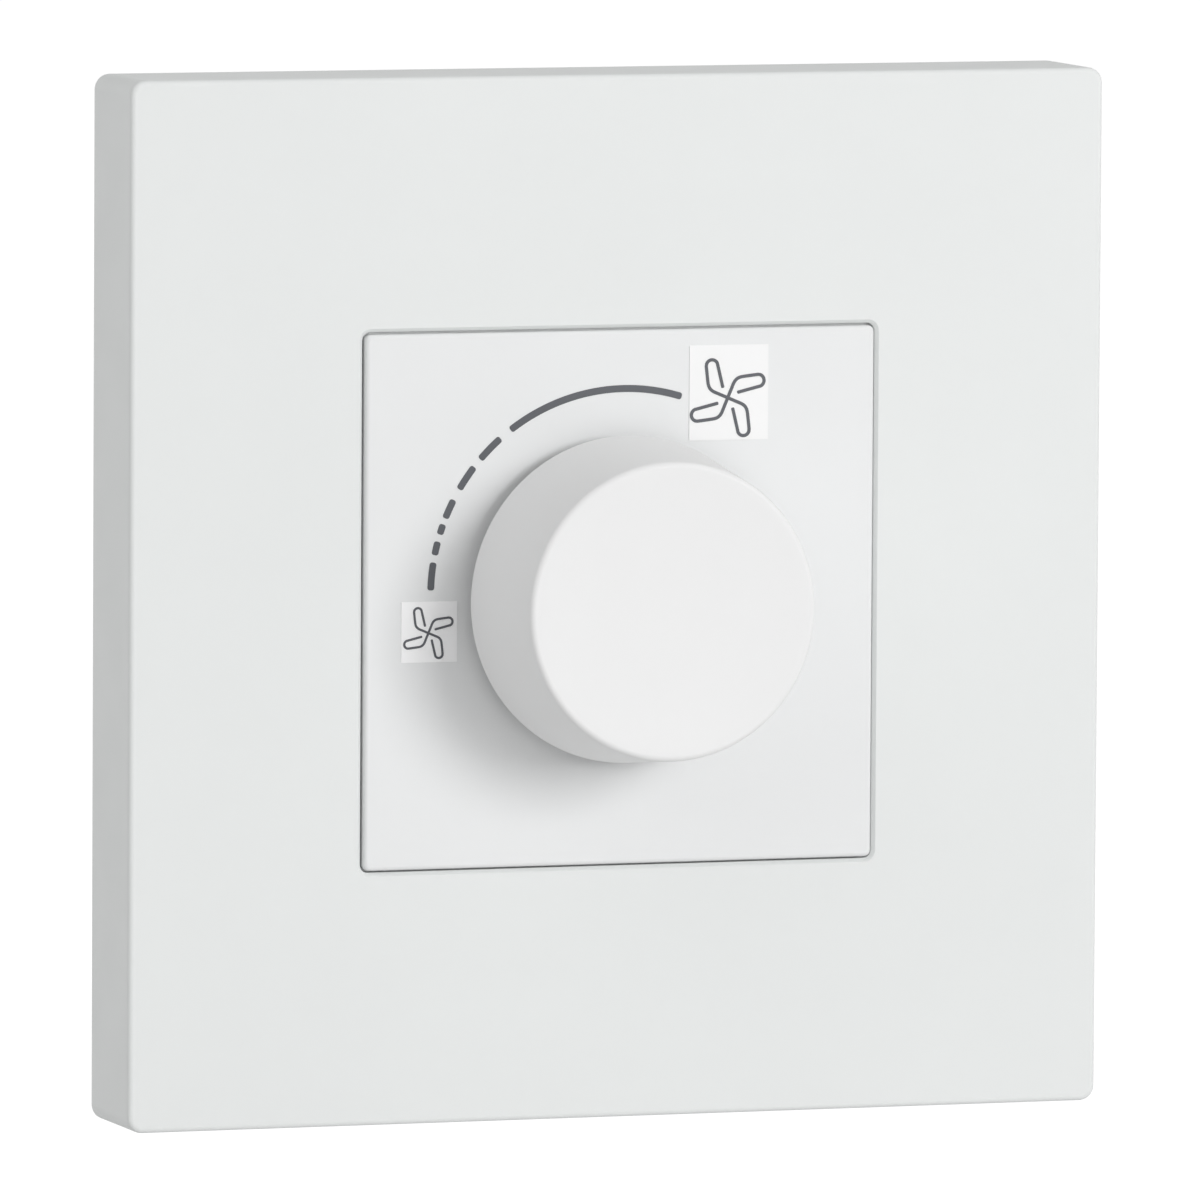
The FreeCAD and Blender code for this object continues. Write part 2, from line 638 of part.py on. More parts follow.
def knob_edge():
    """The knob's rounded front edge: where it leaves the dish, its middle and where it meets the side.

    The rounding is a circle that touches the ball of the dish and the line of the side."""
    ball = (KNOB_TOP_RADIUS ** 2 + KNOB_DISH ** 2) / (2 * KNOB_DISH)
    ball_centre = V(0, knob_front + KNOB_DISH - ball, 0)
    corner = V(KNOB_TOP_RADIUS, knob_front, 0)
    along = V(KNOB_BASE_RADIUS - KNOB_TOP_RADIUS, KNOB_HEIGHT, 0).normalize()
    inward = V(-along.y, along.x, 0)
    start = corner + inward * KNOB_EDGE_RADIUS - ball_centre
    half = start.dot(along)
    reach = ball + KNOB_EDGE_RADIUS
    step = math.sqrt(half ** 2 - start.dot(start) + reach ** 2) - half
    centre = corner + inward * KNOB_EDGE_RADIUS + along * step
    from_dish = ball_centre + (centre - ball_centre) * (ball / reach)
    to_side = centre - inward * KNOB_EDGE_RADIUS
    middle = centre + (from_dish + to_side - centre * 2).normalize() * KNOB_EDGE_RADIUS
    return from_dish, middle, to_side


def knob_body():
    """The knob's tapered shell, with a dished front and a rounded front edge."""
    from_dish, middle, to_side = knob_edge()
    ball = (KNOB_TOP_RADIUS ** 2 + KNOB_DISH ** 2) / (2 * KNOB_DISH)
    half = from_dish.x / 2
    sag = ball - math.sqrt(ball ** 2 - half ** 2)
    dish_centre = V(0, knob_front + KNOB_DISH, 0)
    dish_middle = V(half, knob_front + KNOB_DISH - sag, 0)
    taper = (KNOB_BASE_RADIUS - KNOB_TOP_RADIUS) / KNOB_HEIGHT
    side_end = V(KNOB_BASE_RADIUS - taper * KNOB_RIM_BEVEL, knob_rim - KNOB_RIM_BEVEL, 0)
    rim = V(KNOB_BASE_RADIUS - KNOB_RIM_BEVEL, knob_rim, 0)
    axis_end = V(0, knob_rim, 0)
    edges = [Part.Arc(dish_centre, dish_middle, from_dish).toShape(),
             Part.Arc(from_dish, middle, to_side).toShape(),
             Part.LineSegment(to_side, side_end).toShape(),
             Part.LineSegment(side_end, rim).toShape(),
             Part.LineSegment(rim, axis_end).toShape(),
             Part.LineSegment(axis_end, dish_centre).toShape()]
    body = Part.Face(Part.Wire(edges)).revolve(V(0, 0, 0), V(0, 1, 0), 360)
    inner_front = knob_front + KNOB_DISH + KNOB_WALL
    inner_base = KNOB_BASE_RADIUS - KNOB_WALL
    inner_top = inner_base - taper * (knob_rim - inner_front)
    hollow = revolve([(0, inner_front), (inner_top, inner_front), (inner_base, knob_rim),
                      (0, knob_rim)])
    return body.cut(hollow)


def shaft_section(radius, flat, front, back):
    """A round bar with one flat, on the side towards +Z."""
    room = bar(2 * radius, radius + flat, front, back, 0.0, (flat - radius) / 2)
    return rod(radius, front, back).common(room)


def knob():
    """The knob with its gripping boss and ribs."""
    body = knob_body()
    inner_front = knob_front + KNOB_DISH + KNOB_WALL
    additions = [rod(boss_radius, inner_front, boss_back)]
    reach = KNOB_TOP_RADIUS - KNOB_WALL / 2
    for i in range(KNOB_RIB_COUNT):
        rib = Part.makeBox(reach - boss_radius / 2, KNOB_RIB_DEPTH, KNOB_RIB_THICKNESS,
                           V(boss_radius / 2, inner_front, -KNOB_RIB_THICKNESS / 2))
        turn = 360.0 * (i + 0.5) / KNOB_RIB_COUNT
        additions.append(rib.rotate(V(0, 0, 0), V(0, 1, 0), turn))
    body = body.fuse(additions)
    bore = shaft_section(SHAFT_RADIUS + KEY_GAP, SHAFT_FLAT + KEY_GAP,
                         shaft_front - SHAFT_TIP_GAP, boss_back)
    slit = bar(2 * boss_radius, KNOB_SLIT_WIDTH, boss_back - KNOB_SLIT_LENGTH, boss_back)
    boss_room = rod(boss_radius, boss_back - KNOB_SLIT_LENGTH, boss_back)
    return body.cut([bore, slit.common(boss_room)])


def knob_spring():
    """The open spring ring round the knob's slit boss."""
    back = boss_back - KNOB_SPRING_INSET
    front = back - KNOB_SPRING_LENGTH
    body = ring(boss_radius + KNOB_SPRING_THICKNESS, boss_radius, front, back)
    width = 2 * boss_radius * math.sin(math.radians(KNOB_SPRING_OPENING / 2))
    return body.cut(bar(width, 2 * boss_radius, front, back, 0.0, boss_radius))


def control_shaft():
    """The shaft: flat for the knob, round in the bushing, keyed in the wiper carrier."""
    grip_back = boss_back + SHAFT_GRIP_MARGIN
    key_back = hub_back - TRACK_GAP + RUN_GAP
    grip = shaft_section(SHAFT_RADIUS, SHAFT_FLAT, shaft_front, grip_back)
    journal = rod(SHAFT_RADIUS, grip_back, collar_start)
    collar = rod(SHAFT_RADIUS + SHAFT_COLLAR_STEP, collar_start, collar_end)
    key = shaft_section(SHAFT_RADIUS, SHAFT_FLAT, collar_end, key_back)
    pin = rod(SHAFT_PIN_RADIUS, key_back, plunger_front)
    return grip.fuse([journal, collar, key, pin]).removeSplitter()


def control_bracket():
    """The metal bracket with the bushing and two legs down to the board."""
    body = bar(bracket_width, 2 * CASE_RADIUS, flange_back, bracket_back)
    parts = [rod(bushing_radius, bushing_front, flange_back)]
    for x, z in bracket_leads:
        parts.append(bar(BRACKET_LEG_THICKNESS, BRACKET_LEG_WIDTH, bracket_back,
                         board_front, x, z))
        parts.append(lead(x, z, board_front, lead_back))
    body = body.fuse(parts)
    return body.cut(rod(SHAFT_RADIUS + RUN_GAP, bushing_front, bracket_back))


def control_case():
    """The moulded case of the variable resistor, with a shoulder that the carrier runs on."""
    body = rod(CASE_RADIUS, bracket_back, track_back)
    shoulder = rotor_front - RUN_GAP
    cuts = [rod(rotor_radius - CASE_SHOULDER, bracket_back, shoulder),
            rod(case_bore, shoulder, track_front),
            rod(case_seat, track_front, track_back),
            bar(TRACK_TAB_WIDTH, CASE_RADIUS, track_front, track_back, 0.0, -CASE_RADIUS)]
    return body.cut(cuts)


def resistance_track():
    """The flat wafer that carries the track, with a tab for its terminals."""
    body = rod(case_seat, track_front, track_back)
    tab = bar(TRACK_TAB_WIDTH, track_tab_reach, track_front, track_back, 0.0,
              -track_tab_reach / 2)
    body = body.fuse(tab)
    return body.cut(rod(TRACK_HOLE_RADIUS, track_front, track_back)).removeSplitter()


def wiper_carrier():
    """The disc that the shaft turns, keyed to the shaft's flat."""
    body = rod(rotor_radius, rotor_front, rotor_back)
    body = body.fuse(rod(rotor_hub_radius, rotor_back, hub_back))
    return body.cut(shaft_section(SHAFT_RADIUS + KEY_GAP, SHAFT_FLAT + KEY_GAP,
                                  rotor_front, hub_back))


def wiper_contact():
    """The sprung leaf that the carrier presses on the track."""
    plate = ring(rotor_radius - WIPER_RING_INSET, rotor_hub_radius, rotor_back,
                 rotor_back + WIPER_THICKNESS)
    middle = (rotor_radius + rotor_hub_radius) / 2
    tip = track_front - RUN_GAP
    finger = bar(WIPER_WIDTH, WIPER_FINGER, rotor_back, tip, 0.0, middle)
    shoe = bar(WIPER_WIDTH, WIPER_SHOE, tip - WIPER_THICKNESS, tip, 0.0, middle)
    return plate.fuse([finger, shoe])


def control_terminals():
    """The three terminals of the resistor, from the wafer's tab to the board."""
    solids = []
    for x, z in track_leads:
        foot = bar(TERMINAL_FOOT_WIDTH, TERMINAL_FOOT_HEIGHT, track_back,
                   track_back + TERMINAL_FOOT_THICKNESS, x, z)
        solids.append(foot.fuse(lead(x, z, track_back, lead_back)))
    return solids


def switch_case():
    """The switch's case, open to the back."""
    body = bar(SWITCH_WIDTH, SWITCH_HEIGHT, track_back, switch_back)
    body = body.makeFillet(SWITCH_CORNER_RADIUS, edges_along_y(body))
    room = bar(SWITCH_WIDTH - 2 * SWITCH_WALL, SWITCH_HEIGHT - 2 * SWITCH_WALL,
               track_back + SWITCH_WALL, switch_back)
    hole = rod(SHAFT_PIN_RADIUS + SWITCH_HOLE_GAP, track_back, track_back + SWITCH_WALL)
    return body.cut([room, hole])


def switch_base():
    """The base that closes the switch and holds its contacts."""
    body = bar(SWITCH_WIDTH, SWITCH_HEIGHT, switch_back, base_back)
    holes = [lead(x, z, switch_back, base_back, LEAD_HOLE) for x, z in contact_leads]
    return body.cut(holes)


def switch_terminals():
    """The switch's two fixed contacts with their leads."""
    solids = []
    for x, z in contact_leads:
        pad = bar(CONTACT_SIZE, CONTACT_SIZE, contact_front, contact_front + BRIDGE_THICKNESS, x, z)
        solids.append(pad.fuse(lead(x, z, contact_front, lead_back)))
    return solids


def switch_plunger():
    """The plunger that the shaft's pin pushes back."""
    flange = rod(PLUNGER_FLANGE_RADIUS, plunger_front, flange_rear)
    stem = rod(plunger_stem_radius, flange_rear, stem_back)
    seat = rod(plunger_stem_radius + BRIDGE_SEAT_WALL, flange_rear, bridge_back - BRIDGE_THICKNESS)
    body = flange.fuse([stem, seat])
    return body.cut(rod(plunger_bore_radius, stem_back - PLUNGER_BORE_DEPTH, stem_back))


def contact_bridge():
    """The brass bar on the plunger that joins the two fixed contacts."""
    length = CONTACT_SPACING + 2 * BRIDGE_OVERHANG
    body = bar(length, BRIDGE_WIDTH, bridge_back - BRIDGE_THICKNESS, bridge_back)
    return body.cut(rod(plunger_stem_radius, bridge_back - BRIDGE_THICKNESS, bridge_back))


def switch_spring():
    """The coil spring that returns the plunger, shaft and knob. Its wire has flat sides."""
    start = stem_back - PLUNGER_BORE_DEPTH + SPRING_WIRE_RADIUS
    length = switch_back - start - SPRING_WIRE_RADIUS
    path = Part.makeHelix(length / SPRING_TURNS, length, SPRING_RADIUS)
    section = []
    for i in range(SPRING_WIRE_SIDES + 1):
        angle = 2 * math.pi * (i + 0.5) / SPRING_WIRE_SIDES
        section.append(V(SPRING_RADIUS + SPRING_WIRE_RADIUS * math.cos(angle), 0,
                         SPRING_WIRE_RADIUS * math.sin(angle)))
    coil = Part.Wire(path).makePipeShell([Part.makePolygon(section)], True, True)
    coil.rotate(V(0, 0, 0), V(1, 0, 0), -90)
    coil.translate(V(0, start, 0))
    return coil


def shell_screw_places():
    """Where the four screws that join chassis and rear housing are."""
    return corners(post_spacing, post_spacing)


def module_chassis():
    """The module's front part: a flange on the frame's collar, four bosses and two latches."""
    body = rounded_bar(flange_size, flange_size, flange_front, flange_back, CENTRE_CORNER_RADIUS)
    walls = rounded_bar(BODY_SIZE, BODY_SIZE, flange_back, chassis_back, BODY_CORNER_RADIUS)
    walls = walls.cut(bar(body_inside, body_inside, flange_back, chassis_back))
    additions = [walls]
    for x, z in shell_screw_places():
        additions.append(rod(post_radius, flange_back, chassis_back, x, z))
    for side in (-1, 1):
        additions.append(latch_barb(side))
    body = body.fuse(additions)
    cuts = [rod(bushing_radius + FIT_GAP, flange_front, flange_back)]
    for x, z in corners(peg_spacing, peg_spacing):
        cuts.append(rod(PEG_RADIUS + FIT_GAP, flange_front, flange_back, x, z))
    for x, z in shell_screw_places():
        cuts.append(rod(SHELL_SCREW_RADIUS, chassis_back - SHELL_SCREW_BITE - SHELL_SCREW_TIP_GAP,
                        chassis_back, x, z))
    for side in (-1, 1):
        cuts += latch_slits(side)
    return body.cut(cuts).removeSplitter()


def latch_barb(side):
    """A wedge on the chassis wall that snaps into the frame's collar."""
    wall = side * BODY_SIZE / 2
    front = flange_back + LATCH_OFFSET
    back = front + LATCH_BARB_LENGTH
    points = [V(wall, front, 0), V(wall + side * LATCH_BITE, front, 0), V(wall, back, 0),
              V(wall, front, 0)]
    barb = Part.Face(Part.makePolygon(points)).extrude(V(0, 0, LATCH_WIDTH))
    barb.translate(V(0, 0, -LATCH_WIDTH / 2))
    return barb


def latch_slits(side):
    """Three cuts that free a tongue in the chassis wall, behind its barb."""
    x = side * (BODY_SIZE - SHELL_WALL) / 2
    deep = 2 * SHELL_WALL
    end = flange_back + LATCH_TONGUE
    cuts = [bar(deep, LATCH_WIDTH + 2 * LATCH_SLIT, end, end + LATCH_SLIT, x, 0.0)]
    for z in sides(LATCH_WIDTH + LATCH_SLIT):
        cuts.append(bar(deep, LATCH_SLIT, flange_back, end + LATCH_SLIT, x, z))
    return cuts


def rear_housing():
    """The module's rear part: a box with screw posts, board ledges, vents and a lip."""
    body = rounded_bar(BODY_SIZE, BODY_SIZE, chassis_back, housing_back, BODY_CORNER_RADIUS)
    body = body.makeChamfer(HOUSING_EDGE_BEVEL, edges_at(body, housing_back))
    body = body.cut(bar(body_inside, body_inside, chassis_back, housing_inside))
    additions = []
    for x, z in shell_screw_places():
        additions.append(rod(post_radius, chassis_back, housing_inside, x, z))
    ledge_place = body_inside / 2 - LEDGE_SIZE / 2
    for side in (-1, 1):
        additions.append(bar(LEDGE_SIZE, LEDGE_SIZE, board_back, housing_inside,
                             side * ledge_place, ledge_offset))
        additions.append(bar(LEDGE_SIZE, LEDGE_SIZE, board_back, housing_inside,
                             side * ledge_place, -ledge_offset))
    lip_size = body_inside - 2 * LIP_GAP
    lip = bar(lip_size, lip_size, chassis_back - LIP_HEIGHT, chassis_back)
    lip_room = lip_size - 2 * LIP_WALL
    lip = lip.cut(bar(lip_room, lip_room, chassis_back - LIP_HEIGHT, chassis_back))
    foot = bar(body_inside, body_inside, chassis_back, chassis_back + LIP_HEIGHT)
    foot = foot.cut(bar(lip_room, lip_room, chassis_back, chassis_back + LIP_HEIGHT))
    body = body.fuse(additions + [foot, lip])
    cuts = []
    for x, z in shell_screw_places():
        seat = chassis_back + SHELL_SCREW_GRIP
        cuts.append(rod(SHELL_SCREW_RADIUS + FIT_GAP, chassis_back, seat, x, z))
        cuts.append(rod(SHELL_SCREW_HEAD_RADIUS + SEAT_GAP, seat, housing_back, x, z))
        cuts.append(bar(2 * post_radius + 2 * LIP_GAP, 2 * post_radius + 2 * LIP_GAP,
                        chassis_back - LIP_HEIGHT, chassis_back, x, z))
    for x in sides(TERMINAL_SPACING):
        cuts.append(Part.makeCylinder(clamp_screw_access, SHELL_WALL,
                                      V(x, clamp_screw_y, -BODY_SIZE / 2)))
    window_top = block_top + BLOCK_GAP
    window_bottom = -body_inside / 2
    cuts.append(bar(block_width + 2 * BLOCK_GAP, window_top - window_bottom, housing_inside,
                    housing_back, 0.0, (window_top + window_bottom) / 2))
    for i in range(VENT_COUNT):
        x = (i - (VENT_COUNT - 1) / 2) * VENT_PITCH
        cuts.append(bar(VENT_WIDTH, VENT_LENGTH, housing_inside, housing_back, x, VENT_Z))
    return body.cut(cuts).removeSplitter()


def housing_screws():
    """The four screws that join chassis and rear housing, driven from behind."""
    solids = []
    seat = chassis_back + SHELL_SCREW_GRIP
    for x, z in shell_screw_places():
        shank = rod(SHELL_SCREW_RADIUS, chassis_back - SHELL_SCREW_BITE, seat, x, z)
        head = rod(SHELL_SCREW_HEAD_RADIUS, seat, seat + SHELL_SCREW_HEAD_HEIGHT, x, z)
        slot = bar(2 * SHELL_SCREW_HEAD_RADIUS, DRIVER_SLOT_WIDTH,
                   seat + SHELL_SCREW_HEAD_HEIGHT - DRIVER_SLOT_DEPTH,
                   seat + SHELL_SCREW_HEAD_HEIGHT, x, z)
        solids.append(shank.fuse(head).cut(slot))
    return solids


def circuit_board():
    """The board, notched round the posts, with a hole for every lead."""
    body = bar(board_size, board_size, board_front, board_back)
    cuts = [lead(x, z, board_front, board_back, LEAD_HOLE) for x, z in all_leads]
    for x, z in shell_screw_places():
        cuts.append(rod(post_radius + BOARD_POST_GAP, board_front, board_back, x, z))
    return body.cut(cuts)


def heat_sink():
    """The bent aluminium heat sink along the top wall."""
    front = sink_back - SINK_DEPTH
    body = bar(sink_length, SINK_THICKNESS, front, sink_back, 0.0, sink_top - SINK_THICKNESS / 2)
    parts = []
    for x, z in sink_leads:
        parts.append(bar(SINK_THICKNESS, SINK_FLANGE, front, sink_back, x, z))
        parts.append(lead(x, z, sink_back, lead_back))
    hole = Part.makeCylinder(SINK_SCREW_RADIUS, SINK_THICKNESS, V(0, sink_screw_y, sink_face))
    return body.fuse(parts).cut(hole)


def insulating_pad():
    """The thin pad between the power switch and the heat sink."""
    body = bar(TRIAC_WIDTH + 2 * PAD_MARGIN, PAD_THICKNESS, tab_front, triac_back, 0.0,
               tab_top + PAD_THICKNESS / 2)
    hole = Part.makeCylinder(SINK_SCREW_RADIUS + FIT_GAP, PAD_THICKNESS,
                             V(0, sink_screw_y, tab_top))
    return body.cut(hole)


def triac():
    """The power switch: a moulded body on a metal tab, with three leads."""
    tab = bar(TRIAC_WIDTH, TRIAC_TAB_THICKNESS, tab_front, triac_back, 0.0,
              tab_top - TRIAC_TAB_THICKNESS / 2)
    body = bar(TRIAC_WIDTH, TRIAC_THICKNESS, triac_front, triac_back, 0.0,
               tab_top - TRIAC_THICKNESS / 2)
    leads = [lead(x, z, triac_back, lead_back) for x, z in triac_leads]
    hole = Part.makeCylinder(TRIAC_HOLE_RADIUS, TRIAC_TAB_THICKNESS,
                             V(0, sink_screw_y, tab_top - TRIAC_TAB_THICKNESS))
    return tab.cut(hole).fuse([body] + leads)


def heat_sink_screw():
    """The screw that clamps the power switch to the heat sink."""
    seat = tab_top - TRIAC_TAB_THICKNESS
    shank = Part.makeCylinder(SINK_SCREW_RADIUS, sink_top - seat, V(0, sink_screw_y, seat))
    head = Part.makeCylinder(SINK_SCREW_HEAD_RADIUS, SINK_SCREW_HEAD_HEIGHT,
                             V(0, sink_screw_y, seat - SINK_SCREW_HEAD_HEIGHT))
    slot = Part.makeBox(2 * SINK_SCREW_HEAD_RADIUS, DRIVER_SLOT_WIDTH, DRIVER_SLOT_DEPTH,
                        V(-SINK_SCREW_HEAD_RADIUS, sink_screw_y - DRIVER_SLOT_WIDTH / 2,
                          seat - SINK_SCREW_HEAD_HEIGHT))
    return shank.fuse(head).cut(slot)


def toroid(outer, inner, thickness):
    """A ring of rectangular section about an axis along X, at the choke's place."""
    start = V(choke_x - thickness / 2, choke_y, 0)
    body = Part.makeCylinder(outer, thickness, start, V(1, 0, 0))
    return body.cut(Part.makeCylinder(inner, thickness, start, V(1, 0, 0)))


def choke_core():
    """The choke's powdered iron ring."""
    return toroid(CHOKE_OUTER, CHOKE_INNER, CHOKE_THICKNESS)


def choke_winding():
    """The choke's winding: turns of thick wire side by side round the ring."""
    core = choke_core()
    sleeve = toroid(CHOKE_OUTER + CHOKE_SLEEVE, CHOKE_INNER - CHOKE_SLEEVE,
                    CHOKE_THICKNESS + 2 * CHOKE_SLEEVE)
    low = CHOKE_INNER - CHOKE_WIRE
    high = CHOKE_OUTER + CHOKE_WIRE
    wide = CHOKE_THICKNESS + 2 * CHOKE_WIRE
    turns = []
    for i in range(CHOKE_TURNS):
        turn = Part.makeBox(wide, CHOKE_WIRE, high - low,
                            V(choke_x - wide / 2, choke_y - CHOKE_WIRE / 2, low))
        angle = CHOKE_WOUND_ANGLE * (i / (CHOKE_TURNS - 1) - 0.5) - 90.0
        turns.append(turn.rotate(V(choke_x, choke_y, 0), V(1, 0, 0), angle))
    leads = [lead(x, z, choke_y + CHOKE_OUTER, lead_back) for x, z in choke_leads]
    return sleeve.fuse(turns + leads).cut(core)


def boxed_part(width, height, depth, x, z, leads, front_side):
    """A moulded rectangular component on the front or the back of the board."""
    if front_side:
        back = front_seat
        body = bar(width, height, back - depth, back, x, z)
        legs = [lead(lx, lz, back, lead_back) for lx, lz in leads]
    else:
        front = rear_seat
        body = bar(width, height, front, front + depth, x, z)
        legs = [lead(lx, lz, lead_front, front) for lx, lz in leads]
    body = body.makeFillet(CAP_EDGE_RADIUS, edges_along_y(body))
    return body.fuse(legs)


def axial_part(length, radius, x, z, leads):
    """A small round component lying along X behind the board, with bent leads."""
    centre_y = rear_seat + radius
    body = cross_rod(radius, length, V(x, centre_y, z), V(1, 0, 0))
    xs = [place[0] for place in leads]
    span = max(xs) - min(xs) + LEAD
    wire = bar(span, LEAD, centre_y - LEAD / 2, centre_y + LEAD / 2, x, z)
    legs = [lead(lx, lz, lead_front, centre_y + LEAD / 2) for lx, lz in leads]
    return body.fuse([wire] + legs)


def varistor():
    """The disc-shaped surge absorber standing behind the board."""
    centre_y = rear_seat + VARISTOR_RADIUS
    body = cross_rod(VARISTOR_RADIUS, VARISTOR_THICKNESS, V(VARISTOR_X, centre_y, VARISTOR_Z),
                     V(0, 0, 1))
    rims = [e for e in body.Edges if isinstance(e.Curve, Part.Circle)]
    body = body.makeChamfer(VARISTOR_BEVEL, rims)
    legs = [lead(lx, lz, lead_front, centre_y) for lx, lz in varistor_leads]
    return body.fuse(legs)


def resistors():
    """Three resistors in a row behind the board."""
    solids = []
    for i, row in enumerate(resistor_rows):
        leads = resistor_leads[2 * i:2 * i + 2]
        solids.append(axial_part(RESISTOR_LENGTH, RESISTOR_RADIUS, RESISTOR_X, row, leads))
    return solids


def fuse_tube():
    """The fuse's glass tube."""
    middle = V(0, fuse_y, fuse_z)
    outer = cross_rod(FUSE_TUBE_RADIUS, fuse_tube_length, middle, V(1, 0, 0))
    inner = cross_rod(FUSE_TUBE_RADIUS - FUSE_TUBE_WALL, fuse_tube_length, middle, V(1, 0, 0))
    return outer.cut(inner)


def fuse_caps():
    """The fuse's two metal caps."""
    solids = []
    inside = cross_rod(FUSE_TUBE_RADIUS, fuse_tube_length, V(0, fuse_y, fuse_z), V(1, 0, 0))
    for x in sides(FUSE_LENGTH - FUSE_CAP_LENGTH):
        cap = cross_rod(fuse_cap_radius, FUSE_CAP_LENGTH, V(x, fuse_y, fuse_z), V(1, 0, 0))
        solids.append(cap.cut(inside))
    return solids


def fuse_clips():
    """The two sprung clips that hold the fuse."""
    solids = []
    width = 2 * (fuse_cap_radius + FUSE_CLIP_WALL)
    for x, z in fuse_leads:
        body = bar(FUSE_CLIP_WIDTH, width, fuse_y - FUSE_CLIP_GRIP, board_front, x, z)
        seat = cross_rod(fuse_cap_radius, 2 * FUSE_CLIP_WIDTH, V(x, fuse_y, z), V(1, 0, 0))
        mouth = bar(2 * FUSE_CLIP_WIDTH, 2 * fuse_cap_radius, fuse_y - 2 * fuse_cap_radius,
                    fuse_y, x, z)
        body = body.cut([seat, mouth])
        solids.append(body.fuse(lead(x, z, board_front, lead_back)))
    return solids


def terminal_block():
    """The moulded block that shows in the back of the housing, with two wire entries."""
    middle = (block_top + block_bottom) / 2
    body = bar(block_width, block_top - block_bottom, board_back, housing_back, 0.0, middle)
    cuts = []
    for x in sides(TERMINAL_SPACING):
        cuts.append(bar(CLAMP_WIDTH, CLAMP_HEIGHT, board_back, clamp_back, x, clamp_z))
        cuts.append(rod(WIRE_ENTRY_RADIUS, clamp_back, housing_back, x, clamp_z))
        cuts.append(Part.makeCylinder(clamp_screw_access, CLAMP_FLOOR,
                                      V(x, clamp_screw_y, block_bottom)))
    return body.cut(cuts)


def terminal_clamps():
    """The brass clamps, each with a wire hole and a threaded hole that meets it."""
    solids = []
    for x, z in clamp_leads:
        body = bar(CLAMP_WIDTH, CLAMP_HEIGHT, clamp_front, clamp_back, x, z)
        wire = rod(WIRE_HOLE_RADIUS, clamp_back - WIRE_HOLE_DEPTH, clamp_back, x, z)
        thread = Part.makeCylinder(CLAMP_SCREW_RADIUS, CLAMP_HEIGHT / 2,
                                   V(x, clamp_screw_y, z - CLAMP_HEIGHT / 2))
        pin = lead(x, z, lead_front, clamp_front)
        solids.append(body.cut([wire, thread]).fuse(pin))
    return solids


def terminal_screws():
    """The two clamp screws, backed off so that a wire can go in."""
    solids = []
    tip = clamp_z - WIRE_HOLE_RADIUS
    seat = clamp_z - CLAMP_HEIGHT / 2 - CLAMP_SCREW_RELEASE
    for x in sides(TERMINAL_SPACING):
        shank = Part.makeCylinder(CLAMP_SCREW_RADIUS, tip - seat, V(x, clamp_screw_y, seat))
        head = Part.makeCylinder(CLAMP_SCREW_HEAD_RADIUS, CLAMP_SCREW_HEAD_HEIGHT,
                                 V(x, clamp_screw_y, seat - CLAMP_SCREW_HEAD_HEIGHT))
        slot = Part.makeBox(2 * CLAMP_SCREW_HEAD_RADIUS, DRIVER_SLOT_WIDTH, DRIVER_SLOT_DEPTH,
                            V(x - CLAMP_SCREW_HEAD_RADIUS, clamp_screw_y - DRIVER_SLOT_WIDTH / 2,
                              seat - CLAMP_SCREW_HEAD_HEIGHT))
        solids.append(shank.fuse(head).cut(slot))
    return solids


def single(shape):
    """The one solid of a shape, as a plain solid."""
    solids = shape.Solids
    if len(solids) != 1:
        raise ValueError("expected one solid, found %d" % len(solids))
    return solids[0]


def write(name, shape):
    """Write one node: a single solid, or a group of like solids."""
    if isinstance(shape, list):
        result = Part.makeCompound([single(s) for s in shape])
    else:
        result = single(shape)
    if not result.isValid():
        raise ValueError(name + " isn't valid")
    result.exportStep("parts/" + name + ".step")
    print("%-20s %8.1f mm3" % (name, result.Volume))


def main():
    os.makedirs("parts", exist_ok=True)
    write("outer_plate", outer_plate())
    write("support_frame", support_frame())
    write("box_screws", box_screws())
    write("centre_plate", centre_plate())
    write("low_speed_label", label(LOW_LABEL_WIDTH, LOW_LABEL_HEIGHT, low_label_x, LOW_LABEL_Z))
    write("high_speed_label", label(HIGH_LABEL_WIDTH, HIGH_LABEL_HEIGHT, high_label_x,
                                    high_label_z))
    write("knob", knob())
    write("knob_spring", knob_spring())
    write("control_shaft", control_shaft())
    write("control_bracket", control_bracket())
    write("control_case", control_case())
    write("resistance_track", resistance_track())
    write("wiper_carrier", wiper_carrier())
    write("wiper_contact", wiper_contact())
    write("control_terminals", control_terminals())
    write("switch_case", switch_case())
    write("switch_base", switch_base())
    write("switch_terminals", switch_terminals())
    write("switch_plunger", switch_plunger())
    write("contact_bridge", contact_bridge())
    write("switch_spring", switch_spring())
    write("module_chassis", module_chassis())
    write("rear_housing", rear_housing())
    write("housing_screws", housing_screws())
    write("circuit_board", circuit_board())
    write("heat_sink", heat_sink())
    write("insulating_pad", insulating_pad())
    write("triac", triac())
    write("heat_sink_screw", heat_sink_screw())
    write("choke_core", choke_core())
    write("choke_winding", choke_winding())
    write("mains_capacitor", boxed_part(MAINS_CAP_WIDTH, MAINS_CAP_HEIGHT, MAINS_CAP_DEPTH,
                                        mains_cap_x, 0.0, mains_cap_leads, True))
    write("noise_capacitor", boxed_part(NOISE_CAP_WIDTH, NOISE_CAP_HEIGHT, NOISE_CAP_DEPTH,
                                        0.0, noise_cap_z, noise_cap_leads, False))
    write("timing_capacitor", boxed_part(TIMING_CAP_WIDTH, TIMING_CAP_HEIGHT, TIMING_CAP_DEPTH,
                                         TIMING_CAP_X, TIMING_CAP_Z, timing_cap_leads, False))
    write("resistors", resistors())
    write("diac", axial_part(DIAC_LENGTH, DIAC_RADIUS, DIAC_X, DIAC_Z, diac_leads))
    write("varistor", varistor())
    write("fuse_tube", fuse_tube())
    write("fuse_caps", fuse_caps())
    write("fuse_clips", fuse_clips())
    write("terminal_block", terminal_block())
    write("terminal_clamps", terminal_clamps())
    write("terminal_screws", terminal_screws())


main()
